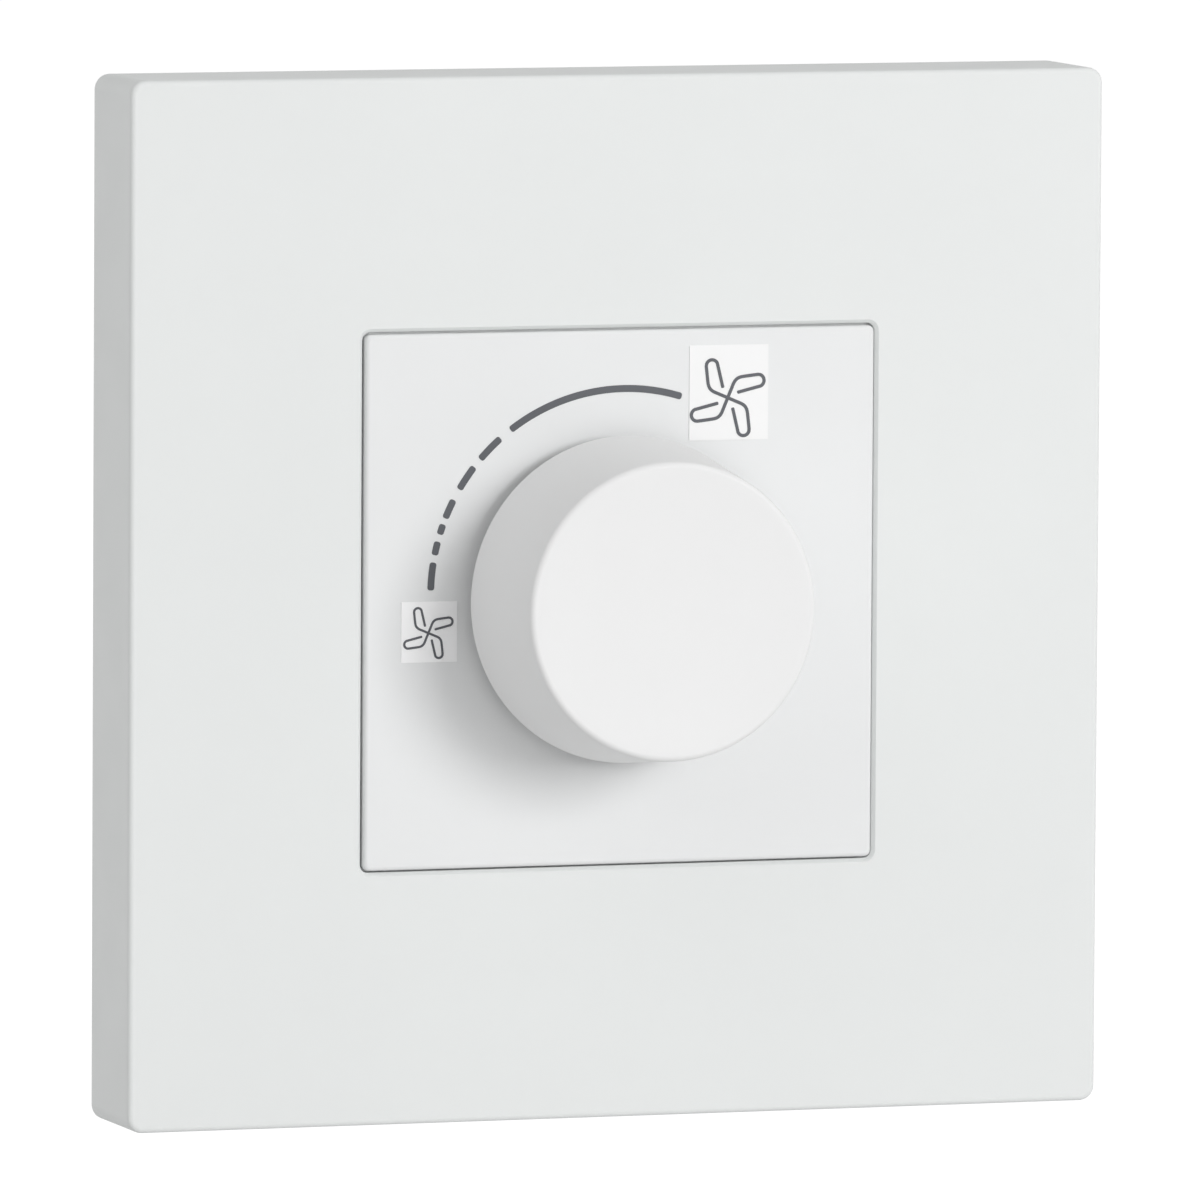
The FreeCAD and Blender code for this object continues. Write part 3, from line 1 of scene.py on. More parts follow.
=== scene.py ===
import json
import math
import bmesh
import bpy
from mathutils import Matrix, Vector

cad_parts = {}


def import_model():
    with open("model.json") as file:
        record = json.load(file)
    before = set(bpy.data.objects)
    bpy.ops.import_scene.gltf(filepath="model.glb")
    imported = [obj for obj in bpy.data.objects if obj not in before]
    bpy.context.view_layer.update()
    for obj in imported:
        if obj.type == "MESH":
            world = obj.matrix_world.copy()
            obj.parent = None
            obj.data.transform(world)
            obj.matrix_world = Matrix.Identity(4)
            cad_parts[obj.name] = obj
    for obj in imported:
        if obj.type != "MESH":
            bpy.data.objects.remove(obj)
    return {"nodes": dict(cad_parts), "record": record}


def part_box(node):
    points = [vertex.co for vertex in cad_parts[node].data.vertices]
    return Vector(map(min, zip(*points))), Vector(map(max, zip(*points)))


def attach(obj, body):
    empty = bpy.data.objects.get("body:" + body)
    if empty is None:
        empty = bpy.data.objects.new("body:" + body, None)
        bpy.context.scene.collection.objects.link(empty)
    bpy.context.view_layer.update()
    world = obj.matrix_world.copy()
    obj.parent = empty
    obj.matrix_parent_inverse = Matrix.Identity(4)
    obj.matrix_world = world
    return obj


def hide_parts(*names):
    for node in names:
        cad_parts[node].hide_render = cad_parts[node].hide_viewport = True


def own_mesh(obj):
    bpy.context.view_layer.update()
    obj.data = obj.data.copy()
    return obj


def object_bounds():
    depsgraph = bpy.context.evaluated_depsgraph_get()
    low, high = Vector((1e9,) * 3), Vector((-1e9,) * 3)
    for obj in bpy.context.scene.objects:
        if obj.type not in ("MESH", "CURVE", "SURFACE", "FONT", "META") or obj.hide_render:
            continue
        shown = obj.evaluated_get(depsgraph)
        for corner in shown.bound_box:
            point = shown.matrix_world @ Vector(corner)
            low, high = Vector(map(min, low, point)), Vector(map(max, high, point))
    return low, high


# Looks of the rotary fan speed control: the finishes, the printed scale and fan signs, the
# knob's smooth surface, the box screws' threads and the push switch's round spring.
# Lengths are in metres and angles in degrees, unless a comment says otherwise.
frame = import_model()
cad_low, cad_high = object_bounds()
MM = 0.001
WELD_DISTANCE = 1e-7
SMOOTH_ANGLE = 40.0

# The view, from the left of the plate and a little above it. The photo's side and the place
# in it of the middle of the plate's front are in pixels, and the sensor's width is in mm.
PHOTO_SIZE = 1200
FRONT_CENTRE_PX = (619.2, 597.1)
PIXELS_PER_MM = 11.9
VIEW_LEFT = 18.66
VIEW_UP = 5.2
VIEW_ROLL = 0.33
VIEW_DISTANCE = 1.4
SENSOR = 36.0

# Light: where each lamp stands, to the right of the plate's front and above it, its distance
# and size, and its power in watts
WORLD_LEVEL = 0.466
KEY_RIGHT = 24.0
KEY_UP = 13.0
KEY_DISTANCE = 1.1
KEY_SIZE = 0.4
KEY_POWER = 5.6
FILL_RIGHT = -58.0
FILL_UP = 42.0
FILL_DISTANCE = 0.9
FILL_SIZE = 0.9
FILL_POWER = 1.25
BACK_RIGHT = 212.0
BACK_UP = 3.0
BACK_DISTANCE = 1.2
BACK_SIZE = 0.8
BACK_POWER = 1.8

# The white backdrop and the pale floor under the plate. The floor's glow is seen only by the
# camera, in reflections and through glass, and rises over a range of distances.
BACKDROP_COLOUR = (1.0, 1.0, 1.0, 1.0)
FLOOR_COLOUR = (0.8, 0.8, 0.8, 1.0)
FLOOR_DROP = 0.12
FLOOR_SIZE = 14.0
FLOOR_GLOW_NEAR = 0.36
FLOOR_GLOW_FAR = 0.66
FLOOR_FADE = (0.35, 0.85)

# Finishes. Noise scales are per metre, depths of relief in metres, and a variation is a share
# of the colour. NOISE_LOW to NOISE_HIGH is the part of a noise value that is spread out.
NOISE_LOW = 0.3
NOISE_HIGH = 0.7
FLOW_SCALE = 45.0
FLOW_DETAIL = 4.0
SHEEN_SCALE = 160.0
SHEEN_SPREAD = 0.04
GRAIN_DETAIL = 2.0
BLOTCH_SCALE = 600.0
BLOTCH_DETAIL = 5.0
MARK_SCALE = 900.0
MARK_DETAIL = 4.0
MARK_SMOOTHER = 0.08
MARK_ROUGHER = 0.1
COAT_ROUGHNESS = 0.3
COAT_SCALE = 900.0
COAT_VARIATION = 0.07
COAT_RELIEF_SCALE = 1500.0
COAT_DEPTH = 6e-6
GLASS_COLOUR = (0.93, 0.96, 0.95, 1.0)
GLASS_ROUGHNESS = 0.04
GLASS_WAVE_SCALE = 250.0
GLASS_WAVE_DEPTH = 5e-6

# The resistors' coat and its painted rings, with their places along X in mm
RESISTOR_COLOUR = (0.62, 0.48, 0.28)
RING_COLOURS = ((0.20, 0.05, 0.02), (0.03, 0.03, 0.03), (0.70, 0.25, 0.02), (0.55, 0.38, 0.08))
RING_START = 6.6
RING_PITCH = 1.1
RING_WIDTH = 0.45

# Plastics and coatings: colour, roughness, scale and depth of the grain, variation, and gloss
PLASTICS = {
    "white_cover": ((0.79, 0.806, 0.80), 0.6, 2600.0, 3e-6, 0.006, 0.2),
    "white_centre": ((0.812, 0.82, 0.822), 0.6, 2600.0, 3e-6, 0.006, 0.2),
    "white_knob": ((0.835, 0.835, 0.835), 0.55, 3200.0, 3e-6, 0.005, 0.25),
    "label_film": ((0.885, 0.885, 0.885), 0.55, 1800.0, 2e-6, 0.008, 0.5),
    # The low label's film is painted lighter than the other label's film: painted light that lifts
    # the knob's shade on it
    "label_film_painted_lighter": ((0.95, 0.95, 0.955), 0.55, 1800.0, 2e-6, 0.008, 0.5),
    "print_ink": ((0.095, 0.10, 0.112), 0.6, 2200.0, 4e-6, 0.12, 0.5),
    "frame_plastic": ((0.52, 0.53, 0.54), 0.55, 1400.0, 8e-6, 0.03, 0.5),
    "housing_plastic": ((0.72, 0.72, 0.71), 0.5, 1500.0, 7e-6, 0.02, 0.5),
    "inner_plastic": ((0.022, 0.022, 0.024), 0.45, 1200.0, 8e-6, 0.2, 0.5),
    "board": ((0.42, 0.26, 0.09), 0.5, 700.0, 9e-6, 0.12, 0.5),
    "wafer": ((0.12, 0.05, 0.02), 0.5, 900.0, 8e-6, 0.15, 0.5),
    "iron_core": ((0.62, 0.50, 0.05), 0.6, 800.0, 2e-5, 0.12, 0.5),
    "film_case": ((0.66, 0.46, 0.03), 0.3, 500.0, 1.2e-5, 0.06, 0.5),
    "blue_coat": ((0.02, 0.10, 0.30), 0.28, 400.0, 1.6e-5, 0.1, 0.5),
    "pad": ((0.42, 0.43, 0.45), 0.8, 1200.0, 8e-6, 0.06, 0.5),
}
# Metals: colour, roughness, stretch of the drawn marks, their depth, and variation
METALS = {
    "zinc_steel": ((0.72, 0.73, 0.76), 0.28, (1, 1, 1), 3e-6, 0.07),
    "spring_steel": ((0.50, 0.51, 0.53), 0.3, (1, 0.1, 1), 2e-6, 0.05),
    "brass": ((0.82, 0.62, 0.28), 0.27, (1, 0.2, 1), 3e-6, 0.06),
    "tin": ((0.76, 0.76, 0.74), 0.33, (1, 1, 1), 4e-6, 0.08),
    "aluminium": ((0.80, 0.81, 0.82), 0.36, (0.06, 1, 1), 5e-6, 0.05),
    "copper_wire": ((0.62, 0.22, 0.09), 0.3, (0.1, 1, 1), 4e-6, 0.08),
}
# Nodes whose finish isn't the one named after their slot. The low label's film is painted lighter
# than the other label's, painted light against the knob's shade on it
OWN_FINISH = {"low_speed_label": "label_film_painted_lighter", "centre_plate": "white_centre"}

# The knob's outline, in mm. The boss and the ribs start a lap inside the front wall, and the
# ribs end a bite inside the side wall.
KNOB_TOP_RADIUS = 12.5
KNOB_EDGE_RADIUS = 0.5
KNOB_DISH = 0.55
KNOB_WALL = 1.7
KNOB_INNER_BEVEL = 0.3
KNOB_RIM_ROUND = 0.25
KNOB_BOSS_BELOW_RIM = 1.1
KNOB_BOSS_RADIUS = 4.5
KNOB_BORE_RADIUS = 3.04
KNOB_FLAT = 1.94
KNOB_SLIT = 0.8
KNOB_SLIT_LENGTH = 6.0
KNOB_RIBS = 6
KNOB_RIB_THICKNESS = 1.0
KNOB_RIB_DEPTH = 5.0
KNOB_RIB_BITE = 0.15
KNOB_LAP = 0.1
KNOB_SMOOTH_ANGLE = 30.0
DISH_STEPS = 24
EDGE_STEPS = 12
SIDE_STEPS = 11
RIM_STEPS = 6
BOSS_STEPS = 96
TURN_STEPS = 192

# The printed scale on the centre plate, in mm and degrees. Stroke ends are shares of half
# the stroke's width.
SCALE_CENTRE = (0.26, 0.57)
SCALE_RADIUS = 17.03
SCALE_STROKE = 0.59
SCALE_SOLID = (73.6, 125.3)
SCALE_DASHES = ((130.9, 137.4), (142.0, 147.8), (153.0, 156.9), (160.5, 161.7),
                (165.6, 167.7), (171.6, 177.7))
ARC_STEP = 1.0
STROKE_END_ROUND = 0.7
STROKE_END_REACH = 0.9
STROKE_END_STEPS = 6
PRINT_THICKNESS = 0.03
PRINT_OVERLAP = 0.004

# The fan signs, in mm: the place of each on its label, its reach and its stroke
LOW_SIGN = (-0.08, -0.09, 2.3, 0.19)
HIGH_SIGN = (-0.1, -0.45, 3.5, 0.28)
SIGN_TURN = 2.5

# One blade, in a sign of reach one: its straight side, the arc round its tip, and the curve
# from its other side in to the middle
BLADE_START = (-0.12, 0.28)
BLADE_NEAR = -0.221
BLADE_FAR = -0.516
BLADE_LENGTH = 0.79
BLADE_TIP_ARC = (20.0, 160.0)
BLADE_CURVE = ((-0.49, 0.42), (-0.478, 0.17), (-0.32, 0.165), (-0.16, 0.074))
BLADE_CURVE_STEPS = 10

# The box screws' threads, in mm. The crest and the flank are shares of half a turn, and the
# point's taper is the radius lost for each mm. The plain shank goes from just behind the
# wall's surface on, and the threaded one starts a lap before it.
THREAD_PITCH = 0.6
THREAD_DEPTH = 0.33
THREAD_CREST = 0.15
THREAD_FLANK = 0.6
THREAD_STEPS = 24
THREAD_RINGS = 10
THREAD_POINT = 0.9
THREAD_POINT_TAPER = 0.7
THREAD_POINT_RADIUS = 0.6
THREAD_LAP = 0.1
BOX_SCREW_RADIUS = 1.75
BOX_SCREW_SPACING = 60.3
SHANK_MARGIN = 0.01
SCREW_SMOOTH_ANGLE = 35.0

# The push switch's spring, in mm
SPRING_WIRE_RADIUS = 0.15
SPRING_RADIUS = 0.85
SPRING_TURNS = 4
SPRING_STEPS = 32
SPRING_SIDES = 10


def link(name, bm, material, body, smooth_angle=SMOOTH_ANGLE):
    """A finished mesh piece that rides on a body."""
    mesh = bpy.data.meshes.new(name)
    bm.normal_update()
    bm.to_mesh(mesh)
    bm.free()
    piece = bpy.data.objects.new(name, mesh)
    bpy.context.scene.collection.objects.link(piece)
    mesh.materials.append(material)
    mesh.set_sharp_from_angle(angle=math.radians(smooth_angle))
    for polygon in mesh.polygons:
        polygon.use_smooth = True
    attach(piece, body)
    return piece


# Materials: every finish has its own variation of tone, roughness and relief

def new_material(name):
    """A material with its node tree, its shader and the coordinates of the object."""
    material = bpy.data.materials.new(name)
    material.use_nodes = True
    tree = material.node_tree
    tree.nodes.clear()
    output = tree.nodes.new("ShaderNodeOutputMaterial")
    shader = tree.nodes.new("ShaderNodeBsdfPrincipled")
    tree.links.new(shader.outputs["BSDF"], output.inputs["Surface"])
    place = tree.nodes.new("ShaderNodeTexCoord")
    return material, tree, shader, place


def noise(tree, place, scale, detail=3.0, stretch=None):
    """Noise over the object's own coordinates, stretched along an axis if asked."""
    source = place.outputs["Object"]
    if stretch:
        mapping = tree.nodes.new("ShaderNodeMapping")
        mapping.inputs["Scale"].default_value = stretch
        tree.links.new(source, mapping.inputs["Vector"])
        source = mapping.outputs["Vector"]
    texture = tree.nodes.new("ShaderNodeTexNoise")
    texture.inputs["Scale"].default_value = scale
    texture.inputs["Detail"].default_value = detail
    tree.links.new(source, texture.inputs["Vector"])
    return texture.outputs["Fac"]


def spread(tree, value, low, high):
    """A noise value mapped to a range."""
    node = tree.nodes.new("ShaderNodeMapRange")
    node.inputs["From Min"].default_value = NOISE_LOW
    node.inputs["From Max"].default_value = NOISE_HIGH
    node.inputs["To Min"].default_value = low
    node.inputs["To Max"].default_value = high
    tree.links.new(value, node.inputs["Value"])
    return node.outputs["Result"]


def tone(tree, value, dark, light):
    """A colour between two tones."""
    node = tree.nodes.new("ShaderNodeMix")
    node.data_type = "RGBA"
    node.inputs["A"].default_value = (*dark, 1.0)
    node.inputs["B"].default_value = (*light, 1.0)
    tree.links.new(value, node.inputs["Factor"])
    return node.outputs["Result"]


def shade(colour, factor):
    """A lighter or darker tone of a colour."""
    return tuple(min(1.0, c * factor) for c in colour)


def relief(tree, shader, height, depth):
    """A bump whose depth is in metres."""
    node = tree.nodes.new("ShaderNodeBump")
    node.inputs["Strength"].default_value = 1.0
    node.inputs["Distance"].default_value = depth
    tree.links.new(height, node.inputs["Height"])
    tree.links.new(node.outputs["Normal"], shader.inputs["Normal"])


def plastic(name, colour, roughness, grain, depth, variation, gloss):
    """Moulded plastic: faint flow marks, an uneven sheen and a fine grain."""
    material, tree, shader, place = new_material(name)
    flow = spread(tree, noise(tree, place, FLOW_SCALE, FLOW_DETAIL), 0.0, 1.0)
    light = shade(colour, 1.0 + variation)
    dark = shade(colour, 1.0 - variation)
    tree.links.new(tone(tree, flow, dark, light), shader.inputs["Base Color"])
    sheen = spread(tree, noise(tree, place, SHEEN_SCALE),
                   roughness - SHEEN_SPREAD, roughness + SHEEN_SPREAD)
    tree.links.new(sheen, shader.inputs["Roughness"])
    shader.inputs["Specular IOR Level"].default_value = gloss
    relief(tree, shader, noise(tree, place, grain, GRAIN_DETAIL), depth)
    return material


def metal(name, colour, roughness, stretch, depth, variation):
    """Metal with drawn or plated marks."""
    material, tree, shader, place = new_material(name)
    shader.inputs["Metallic"].default_value = 1.0
    patches = spread(tree, noise(tree, place, BLOTCH_SCALE, BLOTCH_DETAIL), 0.0, 1.0)
    light = shade(colour, 1.0 + variation)
    dark = shade(colour, 1.0 - variation)
    tree.links.new(tone(tree, patches, dark, light), shader.inputs["Base Color"])
    marks = noise(tree, place, MARK_SCALE, MARK_DETAIL, stretch)
    sheen = spread(tree, marks, roughness - MARK_SMOOTHER, roughness + MARK_ROUGHER)
    tree.links.new(sheen, shader.inputs["Roughness"])
    relief(tree, shader, marks, depth)
    return material


def banded(name, base, rings):
    """A gloss coating with painted rings along X, as on a small resistor."""
    material, tree, shader, place = new_material(name)
    shader.inputs["Roughness"].default_value = COAT_ROUGHNESS
    split = tree.nodes.new("ShaderNodeSeparateXYZ")
    tree.links.new(place.outputs["Object"], split.inputs["Vector"])
    grainy = spread(tree, noise(tree, place, COAT_SCALE), 0.0, 1.0)
    light = shade(base, 1.0 + COAT_VARIATION)
    dark = shade(base, 1.0 - COAT_VARIATION)
    colour = tone(tree, grainy, dark, light)
    for i, ring in enumerate(rings):
        near = tree.nodes.new("ShaderNodeMath")
        near.operation = "COMPARE"
        near.inputs[1].default_value = (RING_START + i * RING_PITCH) * MM
        near.inputs[2].default_value = RING_WIDTH * MM / 2
        tree.links.new(split.outputs["X"], near.inputs[0])
        mix = tree.nodes.new("ShaderNodeMix")
        mix.data_type = "RGBA"
        tree.links.new(near.outputs["Value"], mix.inputs["Factor"])
        tree.links.new(colour, mix.inputs["A"])
        mix.inputs["B"].default_value = (*ring, 1.0)
        colour = mix.outputs["Result"]
    tree.links.new(colour, shader.inputs["Base Color"])
    relief(tree, shader, noise(tree, place, COAT_RELIEF_SCALE), COAT_DEPTH)
    return material


def glass(name):
    """Clear glass with a faint waviness."""
    material, tree, shader, place = new_material(name)
    shader.inputs["Base Color"].default_value = GLASS_COLOUR
    shader.inputs["Roughness"].default_value = GLASS_ROUGHNESS
    shader.inputs["Transmission Weight"].default_value = 1.0
    relief(tree, shader, noise(tree, place, GLASS_WAVE_SCALE), GLASS_WAVE_DEPTH)
    return material


finish = {name: plastic(name, *values) for name, values in PLASTICS.items()}
finish.update({name: metal(name, *values) for name, values in METALS.items()})
finish["resistor_coat"] = banded("resistor_coat", RESISTOR_COLOUR, RING_COLOURS)
finish["clear_glass"] = glass("clear_glass")
for entry in frame["record"]["subparts"]:
    slots = frame["nodes"][entry["node"]].data.materials
    slots.clear()
    slots.append(finish[entry["material_slot"]])
for node, own in OWN_FINISH.items():
    frame["nodes"][node].data.materials[0] = finish[own]


# The printed scale and the fan signs

def ribbon(bm, points, width, front, back):
    """A flat raised stroke along (x, z) points, with rounded ends."""
    half = width / 2
    rails = []
    for i, (x, z) in enumerate(points):
        before = points[max(i - 1, 0)]
        after = points[min(i + 1, len(points) - 1)]
        along = Vector((after[0] - before[0], after[1] - before[1])).normalized()
        rails.append((Vector((x, z)), along))
    outline = [(p + Vector((-a.y, a.x)) * half, p - Vector((-a.y, a.x)) * half)
               for p, a in rails]
    outline = round_end(rails[0], half, -1) + outline + round_end(rails[-1], half, 1)
    rows = []
    for left, right in outline:
        rows.append([bm.verts.new((left.x, front, left.y)), bm.verts.new((right.x, front, right.y)),
                     bm.verts.new((right.x, back, right.y)), bm.verts.new((left.x, back, left.y))])
    for a, b in zip(rows, rows[1:]):
        for k in range(4):
            bm.faces.new((a[k], a[(k + 1) % 4], b[(k + 1) % 4], b[k]))
    bm.faces.new(rows[0][::-1])
    bm.faces.new(rows[-1])


def round_end(rail, half, direction):
    """Pairs of points that close a stroke: a flat end with well rounded corners."""
    point, along = rail
    across = Vector((-along.y, along.x))
    corner = half * STROKE_END_ROUND
    pairs = []
    for step in range(STROKE_END_STEPS + 1):
        angle = math.radians(90.0 * step / STROKE_END_STEPS)
        shift = along * direction * (half * STROKE_END_REACH - corner * (1.0 - math.sin(angle)))
        reach = across * (half - corner * (1.0 - math.cos(angle)))
        pairs.append((point + shift + reach, point + shift - reach))
    return pairs if direction > 0 else pairs[::-1]


def arc_points(centre, radius, start, end):
    """Points along an arc from one angle to another."""
    steps = max(2, int(abs(end - start) / ARC_STEP))
    points = []
    for i in range(steps + 1):
        angle = math.radians(start + (end - start) * i / steps)
        points.append((centre[0] + radius * math.cos(angle), centre[1] + radius * math.sin(angle)))
    return points


def bezier(p0, p1, p2, p3, steps):
    """Points along a curve with two handles, without its last one."""
    points = []
    for i in range(steps):
        t = i / steps
        u = 1.0 - t
        points.append(tuple(u * u * u * a + 3 * u * u * t * b + 3 * u * t * t * c + t * t * t * d
                            for a, b, c, d in zip(p0, p1, p2, p3)))
    return points


def printed_scale():
    """The arc that grows from short dashes to a long line."""
    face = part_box("centre_plate")[0].y
    bm = bmesh.new()
    centre = (SCALE_CENTRE[0] * MM, SCALE_CENTRE[1] * MM)
    for start, end in (SCALE_SOLID,) + SCALE_DASHES:
        points = arc_points(centre, SCALE_RADIUS * MM, start, end)
        ribbon(bm, points, SCALE_STROKE * MM, face - PRINT_THICKNESS * MM, face)
    link("printed_scale", bm, finish["print_ink"], "housing")


def blade():
    """Half of a sign's stroke, in a sign of reach one: round a blade's tip and in to the middle."""
    tip = ((BLADE_FAR + BLADE_NEAR) / 2, BLADE_LENGTH)
    points = [BLADE_START, (BLADE_NEAR, BLADE_LENGTH)]
    points += arc_points(tip, (BLADE_NEAR - BLADE_FAR) / 2, *BLADE_TIP_ARC)
    points += [(BLADE_FAR, BLADE_LENGTH)]
    points += bezier(*BLADE_CURVE, BLADE_CURVE_STEPS)
    return points


def fan_sign(name, node, across, above, reach, stroke):
    """Four open blades made by two strokes that cross in the middle, printed on a label."""
    low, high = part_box(node)
    centre_x = (low.x + high.x) / 2 + across * MM
    centre_z = (low.z + high.z) / 2 + above * MM
    bm = bmesh.new()
    outward = blade()
    line = outward + [(0.0, 0.0)] + [(-u, -v) for u, v in reversed(outward)]
    for i in range(2):
        turn = math.radians(SIGN_TURN - 90.0 * i)
        points = []
        for u, v in line:
            x = centre_x + reach * MM * (u * math.cos(turn) - v * math.sin(turn))
            z = centre_z + reach * MM * (u * math.sin(turn) + v * math.cos(turn))
            points.append((x, z))
        front = low.y - (PRINT_THICKNESS + i * PRINT_OVERLAP) * MM
        ribbon(bm, points, stroke * MM, front, low.y)
    link(name, bm, finish["print_ink"], "housing")


printed_scale()
fan_sign("low_speed_sign", "low_speed_label", *LOW_SIGN)
fan_sign("high_speed_sign", "high_speed_label", *HIGH_SIGN)


# The knob

def turn_profile(bm, profile):
    """Faces from an outline of (radius, level) points turned about Y. Radius zero closes it."""
    rings = []
    for radius, level in profile:
        if radius == 0.0:
            rings.append([bm.verts.new((0.0, level, 0.0))])
            continue
        ring = []
        for i in range(TURN_STEPS):
            angle = 2 * math.pi * i / TURN_STEPS
            ring.append(bm.verts.new((radius * math.cos(angle), level, radius * math.sin(angle))))
        rings.append(ring)
    for a, b in zip(rings, rings[1:]):
        for i in range(TURN_STEPS):
            j = (i + 1) % TURN_STEPS
            if len(a) == 1:
                bm.faces.new((a[0], b[j], b[i]))
            elif len(b) == 1:
                bm.faces.new((a[i], a[j], b[0]))
            else:
                bm.faces.new((a[i], a[j], b[j], b[i]))


def dish_and_edge(front):
    """Outline points of the dished front and its rounded edge, in mm, from the axis outwards."""
    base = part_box("knob")[1].x / MM
    ball = (KNOB_TOP_RADIUS ** 2 + KNOB_DISH ** 2) / (2 * KNOB_DISH)
    ball_level = front + KNOB_DISH - ball
    side = Vector((base - KNOB_TOP_RADIUS, knob_rim() - front)).normalized()
    inward = Vector((-side.y, side.x))
    start = Vector((KNOB_TOP_RADIUS, front)) + inward * KNOB_EDGE_RADIUS
    offset = start - Vector((0.0, ball_level))
    half = offset.dot(side)
    reach = ball + KNOB_EDGE_RADIUS
    step = math.sqrt(half ** 2 - offset.dot(offset) + reach ** 2) - half
    centre = start + side * step
    leave = math.atan2(centre.y - ball_level, centre.x)
    points = []
    for i in range(DISH_STEPS + 1):
        angle = math.pi / 2 + (leave - math.pi / 2) * i / DISH_STEPS
        points.append((ball * math.cos(angle), ball_level + ball * math.sin(angle)))
    first = leave + math.pi
    last = math.atan2(-inward.y, -inward.x) + 2 * math.pi
    for i in range(1, EDGE_STEPS + 1):
        angle = first + (last - first) * i / EDGE_STEPS
        points.append((centre.x + KNOB_EDGE_RADIUS * math.cos(angle),
                       centre.y + KNOB_EDGE_RADIUS * math.sin(angle)))
    points[0] = (0.0, points[0][1])
    return points


def knob_rim():
    """The level of the knob's open rim, in mm."""
    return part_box("knob")[1].y / MM - KNOB_BOSS_BELOW_RIM


def knob_shell(bm):
    """The shell's outline turned about the axis: dish, edge, side, rim and the inside."""
    low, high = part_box("knob")
    front = low.y / MM
    rim = knob_rim()
    base = high.x / MM
    profile = dish_and_edge(front)
    taper = (base - KNOB_TOP_RADIUS) / (rim - front)
    edge = profile[-1]
    for i in range(1, SIDE_STEPS + 1):
        level = edge[1] + (rim - KNOB_RIM_ROUND - edge[1]) * i / SIDE_STEPS
        profile.append((base - taper * (rim - level), level))
    for i in range(1, RIM_STEPS + 1):
        angle = math.radians(90.0 * i / RIM_STEPS)
        profile.append((base - KNOB_RIM_ROUND * (1.0 - math.cos(angle)),
                        rim - KNOB_RIM_ROUND * (1.0 - math.sin(angle))))
    inner_front = front + KNOB_DISH + KNOB_WALL
    inner_base = base - KNOB_WALL
    inner_top = inner_base - taper * (rim - inner_front)
    profile += [(inner_base + KNOB_RIM_ROUND / 2, rim), (inner_base, rim - KNOB_RIM_ROUND / 2),
                (inner_top + KNOB_INNER_BEVEL, inner_front + KNOB_INNER_BEVEL),
                (inner_top, inner_front), (KNOB_BOSS_RADIUS, inner_front), (0.0, inner_front)]
    turn_profile(bm, [(r * MM, y * MM) for r, y in profile])
    return inner_front, inner_top


def knob_boss(bm, inner_front):
    """The gripping boss: a closed tube with a flat in its bore and a slit across it."""
    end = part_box("knob")[1].y
    start = (inner_front - KNOB_LAP) * MM
    slit_start = end - KNOB_SLIT_LENGTH * MM
    columns = []
    for i in range(BOSS_STEPS):
        angle = 2 * math.pi * (i + 0.5) / BOSS_STEPS
        outer = Vector((math.cos(angle), math.sin(angle))) * KNOB_BOSS_RADIUS * MM
        inner = Vector((math.cos(angle), math.sin(angle))) * KNOB_BORE_RADIUS * MM
        inner.y = min(inner.y, KNOB_FLAT * MM)
        columns.append([(bm.verts.new((outer.x, level, outer.y)),
                         bm.verts.new((inner.x, level, inner.y)))
                        for level in (start, slit_start, end)])
    half = KNOB_SLIT * MM / 2
    slit = []
    for i in range(BOSS_STEPS):
        a, b = columns[i], columns[(i + 1) % BOSS_STEPS]
        slit.append(abs((a[0][0].co.z + b[0][0].co.z) / 2) < half)
    for i in range(BOSS_STEPS):
        a, b = columns[i], columns[(i + 1) % BOSS_STEPS]
        top = 1 if slit[i] else 2
        bm.faces.new((a[0][0], b[0][0], b[0][1], a[0][1]))
        bm.faces.new((a[top][0], a[top][1], b[top][1], b[top][0]))
        for k in range(top):
            bm.faces.new((a[k][0], a[k + 1][0], b[k + 1][0], b[k][0]))
            bm.faces.new((a[k][1], b[k][1], b[k + 1][1], a[k + 1][1]))
        if slit[i] != slit[i - 1]:
            bm.faces.new((a[1][0], a[2][0], a[2][1], a[1][1]))
    loose = [v for v in bm.verts if not v.link_faces]
    bmesh.ops.delete(bm, geom=loose, context="VERTS")


def knob_ribs(bm, inner_front, inner_top):
    """Ribs from the boss to the shell."""
    start = (inner_front - KNOB_LAP) * MM
    end = (inner_front + KNOB_RIB_DEPTH) * MM
    near = (KNOB_BOSS_RADIUS - KNOB_LAP) * MM
    far = (inner_top + KNOB_RIB_BITE) * MM
    half = KNOB_RIB_THICKNESS * MM / 2
    for i in range(KNOB_RIBS):
        turn = Matrix.Rotation(-2 * math.pi * (i + 0.5) / KNOB_RIBS, 3, "Y")
        verts = []
        for x in (near, far):
            for y in (start, end):
                for z in (-half, half):
                    verts.append(bm.verts.new(turn @ Vector((x, y, z))))
        for quad in ((0, 1, 3, 2), (4, 6, 7, 5), (0, 4, 5, 1), (2, 3, 7, 6), (0, 2, 6, 4),
                     (1, 5, 7, 3)):
            bm.faces.new([verts[k] for k in quad])


def knob_cover():
    """The knob as one smooth turned shell with its boss and ribs."""
    bm = bmesh.new()
    inner_front, inner_top = knob_shell(bm)
    knob_boss(bm, inner_front)
    knob_ribs(bm, inner_front, inner_top)
    bmesh.ops.remove_doubles(bm, verts=bm.verts, dist=WELD_DISTANCE)
    bmesh.ops.recalc_face_normals(bm, faces=bm.faces)
    cover = link("knob_cover", bm, finish["white_knob"], "knob",
                 KNOB_SMOOTH_ANGLE)
    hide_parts("knob")


knob_cover()


# The box screws

def thread_radius(turns, left):
    """A thread's radius after some turns, less the taper of the point, in mm."""
    phase = turns % 1.0
    flank = min(phase, 1.0 - phase) * 2.0
    depth = THREAD_DEPTH * min(1.0, max(0.0, (flank - THREAD_CREST) / THREAD_FLANK))
    point = max(0.0, THREAD_POINT - left) * THREAD_POINT_TAPER
    return max(THREAD_POINT_RADIUS, BOX_SCREW_RADIUS - depth - point)


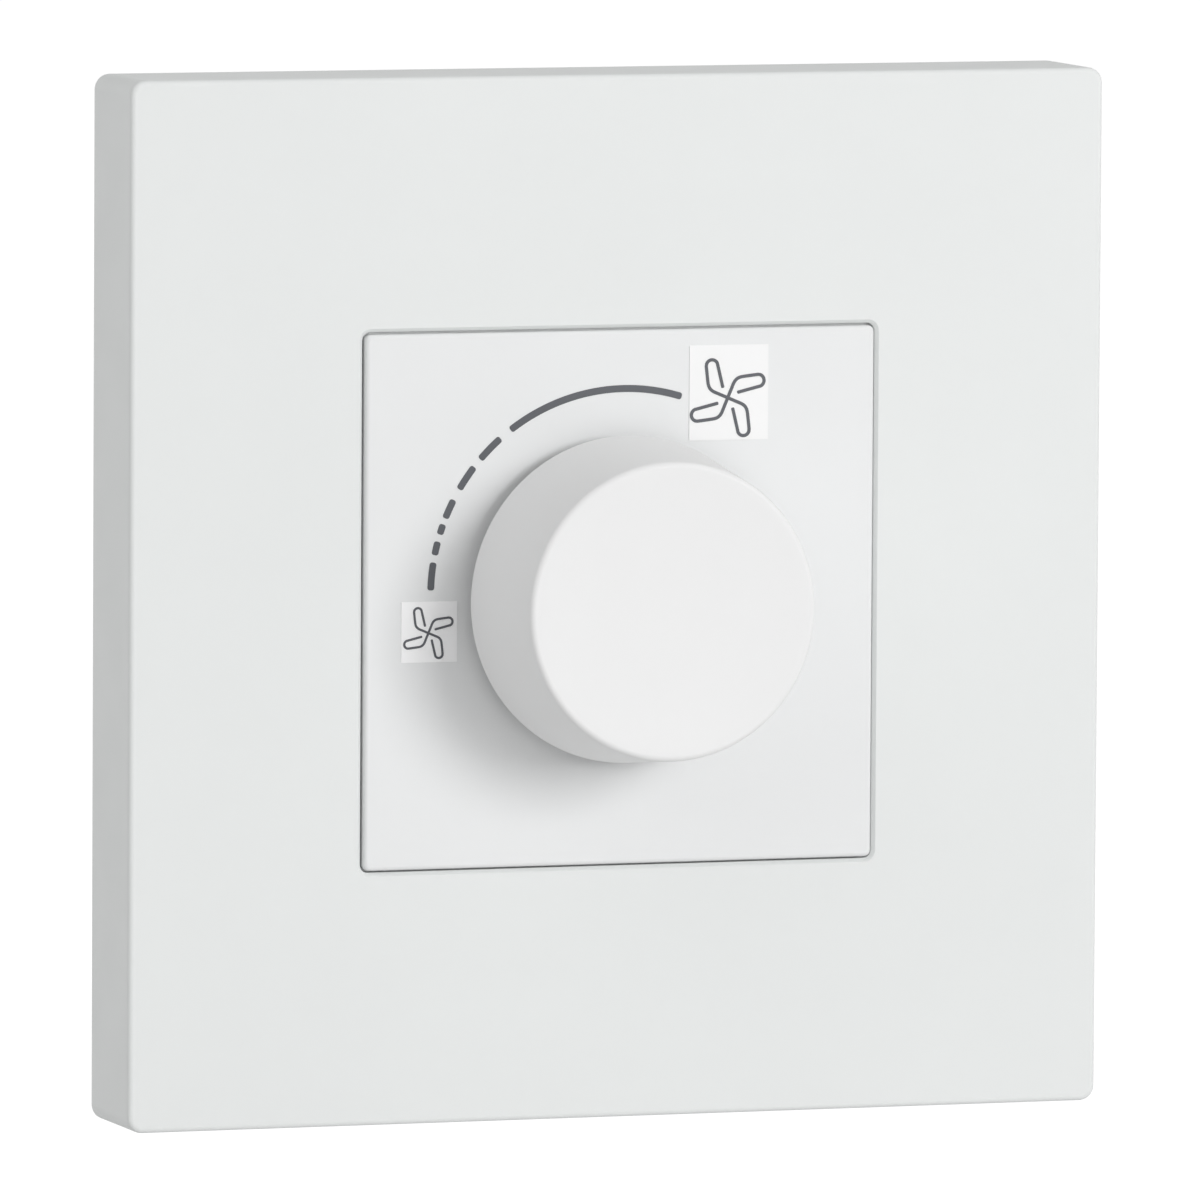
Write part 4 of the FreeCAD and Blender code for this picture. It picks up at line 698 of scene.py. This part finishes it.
def screw_thread(bm, x, start, end):
    """A threaded shank along Y, in mm: rings whose radius follows the helix, closed at its ends."""
    count = int((end - start) / THREAD_PITCH * THREAD_RINGS)
    rings = []
    for i in range(count + 1):
        level = start + (end - start) * i / count
        ring = []
        for k in range(THREAD_STEPS):
            share = k / THREAD_STEPS
            radius = thread_radius(level / THREAD_PITCH + share, end - level)
            angle = 2 * math.pi * share
            ring.append(bm.verts.new((x * MM + radius * MM * math.cos(angle), level * MM,
                                      radius * MM * math.sin(angle))))
        rings.append(ring)
    for a, b in zip(rings, rings[1:]):
        for k in range(THREAD_STEPS):
            j = (k + 1) % THREAD_STEPS
            bm.faces.new((a[k], b[k], b[j], a[j]))
    bm.faces.new(rings[0])
    bm.faces.new(rings[-1][::-1])


def threaded_box_screws():
    """The box screws: their solid heads and necks, with threaded shanks in place of plain ones."""
    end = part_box("box_screws")[1].y
    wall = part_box("outer_plate")[1].y
    bm = bmesh.new()
    bm.from_mesh(frame["nodes"]["box_screws"].data)
    shank = [v for v in bm.verts if v.co.y > wall + SHANK_MARGIN * MM]
    bmesh.ops.delete(bm, geom=shank, context="VERTS")
    bmesh.ops.remove_doubles(bm, verts=bm.verts, dist=WELD_DISTANCE)
    bmesh.ops.holes_fill(bm, edges=[e for e in bm.edges if e.is_boundary])
    middle = BOX_SCREW_SPACING / 2
    for x in (-middle, middle):
        screw_thread(bm, x, wall / MM - THREAD_LAP, end / MM)
    link("threaded_box_screws", bm, finish["zinc_steel"], "housing",
         SCREW_SMOOTH_ANGLE)
    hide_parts("box_screws")


threaded_box_screws()


# The push switch's spring

def pressed_spring():
    """A round wire wound along Y, with a mesh of its own."""
    low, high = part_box("switch_spring")
    length = (high.y - low.y) / MM
    rise = length - 2 * SPRING_WIRE_RADIUS
    steps = SPRING_TURNS * SPRING_STEPS
    bm = bmesh.new()
    rings = []
    for i in range(steps + 1):
        turn = 2 * math.pi * i / SPRING_STEPS
        outward = Vector((math.cos(turn), 0.0, math.sin(turn)))
        along = Vector((-math.sin(turn), rise / (2 * math.pi * SPRING_TURNS * SPRING_RADIUS),
                        math.cos(turn))).normalized()
        across = outward.cross(along)
        level = low.y / MM + SPRING_WIRE_RADIUS + rise * i / steps
        centre = outward * SPRING_RADIUS + Vector((0.0, level, 0.0))
        ring = []
        for k in range(SPRING_SIDES):
            angle = 2 * math.pi * k / SPRING_SIDES
            edge = outward * math.cos(angle) + across * math.sin(angle)
            ring.append(bm.verts.new((centre + edge * SPRING_WIRE_RADIUS) * MM))
        rings.append(ring)
    for a, b in zip(rings, rings[1:]):
        for k in range(SPRING_SIDES):
            j = (k + 1) % SPRING_SIDES
            bm.faces.new((a[k], a[j], b[j], b[k]))
    bm.faces.new(rings[0][::-1])
    bm.faces.new(rings[-1])
    bmesh.ops.recalc_face_normals(bm, faces=bm.faces)
    spring = link("pressed_spring", bm, finish["spring_steel"], "housing")
    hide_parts("switch_spring")
    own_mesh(spring)


pressed_spring()


# Camera, light and surroundings

def camera():
    """The photo's view of the plate, with the middle of the plate's front at its place."""
    left = math.radians(VIEW_LEFT)
    up = math.radians(VIEW_UP)
    roll = math.radians(VIEW_ROLL)
    back = Vector((-math.sin(left) * math.cos(up), -math.cos(left) * math.cos(up), math.sin(up)))
    level_right = (-back).cross(Vector((0, 0, 1))).normalized()
    level_up = level_right.cross(-back)
    right = level_right * math.cos(roll) + level_up * math.sin(roll)
    upward = level_up * math.cos(roll) - level_right * math.sin(roll)
    target = Vector((0.0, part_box("outer_plate")[0].y, 0.0))
    aside = (FRONT_CENTRE_PX[0] - PHOTO_SIZE / 2) / PIXELS_PER_MM * MM
    above = (PHOTO_SIZE / 2 - FRONT_CENTRE_PX[1]) / PIXELS_PER_MM * MM
    place = target + back * VIEW_DISTANCE - right * aside - upward * above
    data = bpy.data.cameras.new("photo_view")
    data.sensor_width = SENSOR
    data.lens = PIXELS_PER_MM / MM * VIEW_DISTANCE / PHOTO_SIZE * SENSOR
    view = bpy.data.objects.new("photo_view", data)
    turn = Matrix((right, upward, back)).transposed().to_4x4()
    view.matrix_world = Matrix.Translation(place) @ turn
    bpy.context.scene.collection.objects.link(view)
    bpy.context.scene.camera = view


def area_light(name, right, up, distance, size, power):
    """A square soft light that points at the plate."""
    a = math.radians(right)
    e = math.radians(up)
    direction = Vector((math.sin(a) * math.cos(e), -math.cos(a) * math.cos(e), math.sin(e)))
    data = bpy.data.lights.new(name, "AREA")
    data.size = size
    data.energy = power
    lamp = bpy.data.objects.new(name, data)
    lamp.location = direction * distance
    lamp.rotation_mode = "QUATERNION"
    lamp.rotation_quaternion = direction.to_track_quat("Z", "Y")
    bpy.context.scene.collection.objects.link(lamp)


def seen_directly(tree):
    """One for rays that show the background: from the camera, a reflection or a clear piece."""
    path = tree.nodes.new("ShaderNodeLightPath")
    total = path.outputs["Is Camera Ray"]
    for name in ("Is Glossy Ray", "Is Transmission Ray"):
        add = tree.nodes.new("ShaderNodeMath")
        add.operation = "MAXIMUM"
        tree.links.new(total, add.inputs[0])
        tree.links.new(path.outputs[name], add.inputs[1])
        total = add.outputs["Value"]
    return total


def world():
    """A plain grey world that shows itself white."""
    surroundings = bpy.data.worlds.new("studio")
    surroundings.use_nodes = True
    tree = surroundings.node_tree
    tree.nodes.clear()
    output = tree.nodes.new("ShaderNodeOutputWorld")
    light = tree.nodes.new("ShaderNodeBackground")
    light.inputs["Color"].default_value = (WORLD_LEVEL, WORLD_LEVEL, WORLD_LEVEL, 1.0)
    seen = tree.nodes.new("ShaderNodeBackground")
    seen.inputs["Color"].default_value = BACKDROP_COLOUR
    mix = tree.nodes.new("ShaderNodeMixShader")
    tree.links.new(seen_directly(tree), mix.inputs["Fac"])
    tree.links.new(light.outputs["Background"], mix.inputs[1])
    tree.links.new(seen.outputs["Background"], mix.inputs[2])
    tree.links.new(mix.outputs["Shader"], output.inputs["Surface"])
    bpy.context.scene.world = surroundings


def floor():
    """A pale floor that keeps the object's shadow and fades to white further from it."""
    material = bpy.data.materials.new("floor_white")
    material.use_nodes = True
    tree = material.node_tree
    tree.nodes.clear()
    output = tree.nodes.new("ShaderNodeOutputMaterial")
    matt = tree.nodes.new("ShaderNodeBsdfDiffuse")
    matt.inputs["Color"].default_value = FLOOR_COLOUR
    place = tree.nodes.new("ShaderNodeTexCoord")
    distance = tree.nodes.new("ShaderNodeVectorMath")
    distance.operation = "LENGTH"
    tree.links.new(place.outputs["Object"], distance.inputs[0])
    fade = tree.nodes.new("ShaderNodeMapRange")
    fade.inputs["From Min"].default_value = FLOOR_FADE[0]
    fade.inputs["From Max"].default_value = FLOOR_FADE[1]
    fade.inputs["To Min"].default_value = FLOOR_GLOW_NEAR
    fade.inputs["To Max"].default_value = FLOOR_GLOW_FAR
    tree.links.new(distance.outputs["Value"], fade.inputs["Value"])
    strength = tree.nodes.new("ShaderNodeMath")
    strength.operation = "MULTIPLY"
    tree.links.new(fade.outputs["Result"], strength.inputs[0])
    tree.links.new(seen_directly(tree), strength.inputs[1])
    glow = tree.nodes.new("ShaderNodeEmission")
    glow.inputs["Color"].default_value = BACKDROP_COLOUR
    tree.links.new(strength.outputs["Value"], glow.inputs["Strength"])
    both = tree.nodes.new("ShaderNodeAddShader")
    tree.links.new(matt.outputs["BSDF"], both.inputs[0])
    tree.links.new(glow.outputs["Emission"], both.inputs[1])
    tree.links.new(both.outputs["Shader"], output.inputs["Surface"])
    bm = bmesh.new()
    level = cad_low.z - FLOOR_DROP
    half = FLOOR_SIZE / 2
    bm.faces.new([bm.verts.new((x, y, level)) for x, y in
                  ((-half, -half), (half, -half), (half, half), (-half, half))])
    mesh = bpy.data.meshes.new("floor")
    bm.to_mesh(mesh)
    bm.free()
    mesh.materials.append(material)
    ground = bpy.data.objects.new("floor", mesh)
    bpy.context.scene.collection.objects.link(ground)


camera()
area_light("key", KEY_RIGHT, KEY_UP, KEY_DISTANCE, KEY_SIZE, KEY_POWER)
area_light("fill", FILL_RIGHT, FILL_UP, FILL_DISTANCE, FILL_SIZE, FILL_POWER)
area_light("back", BACK_RIGHT, BACK_UP, BACK_DISTANCE, BACK_SIZE, BACK_POWER)
world()
floor()
bpy.context.scene.view_settings.view_transform = "Standard"
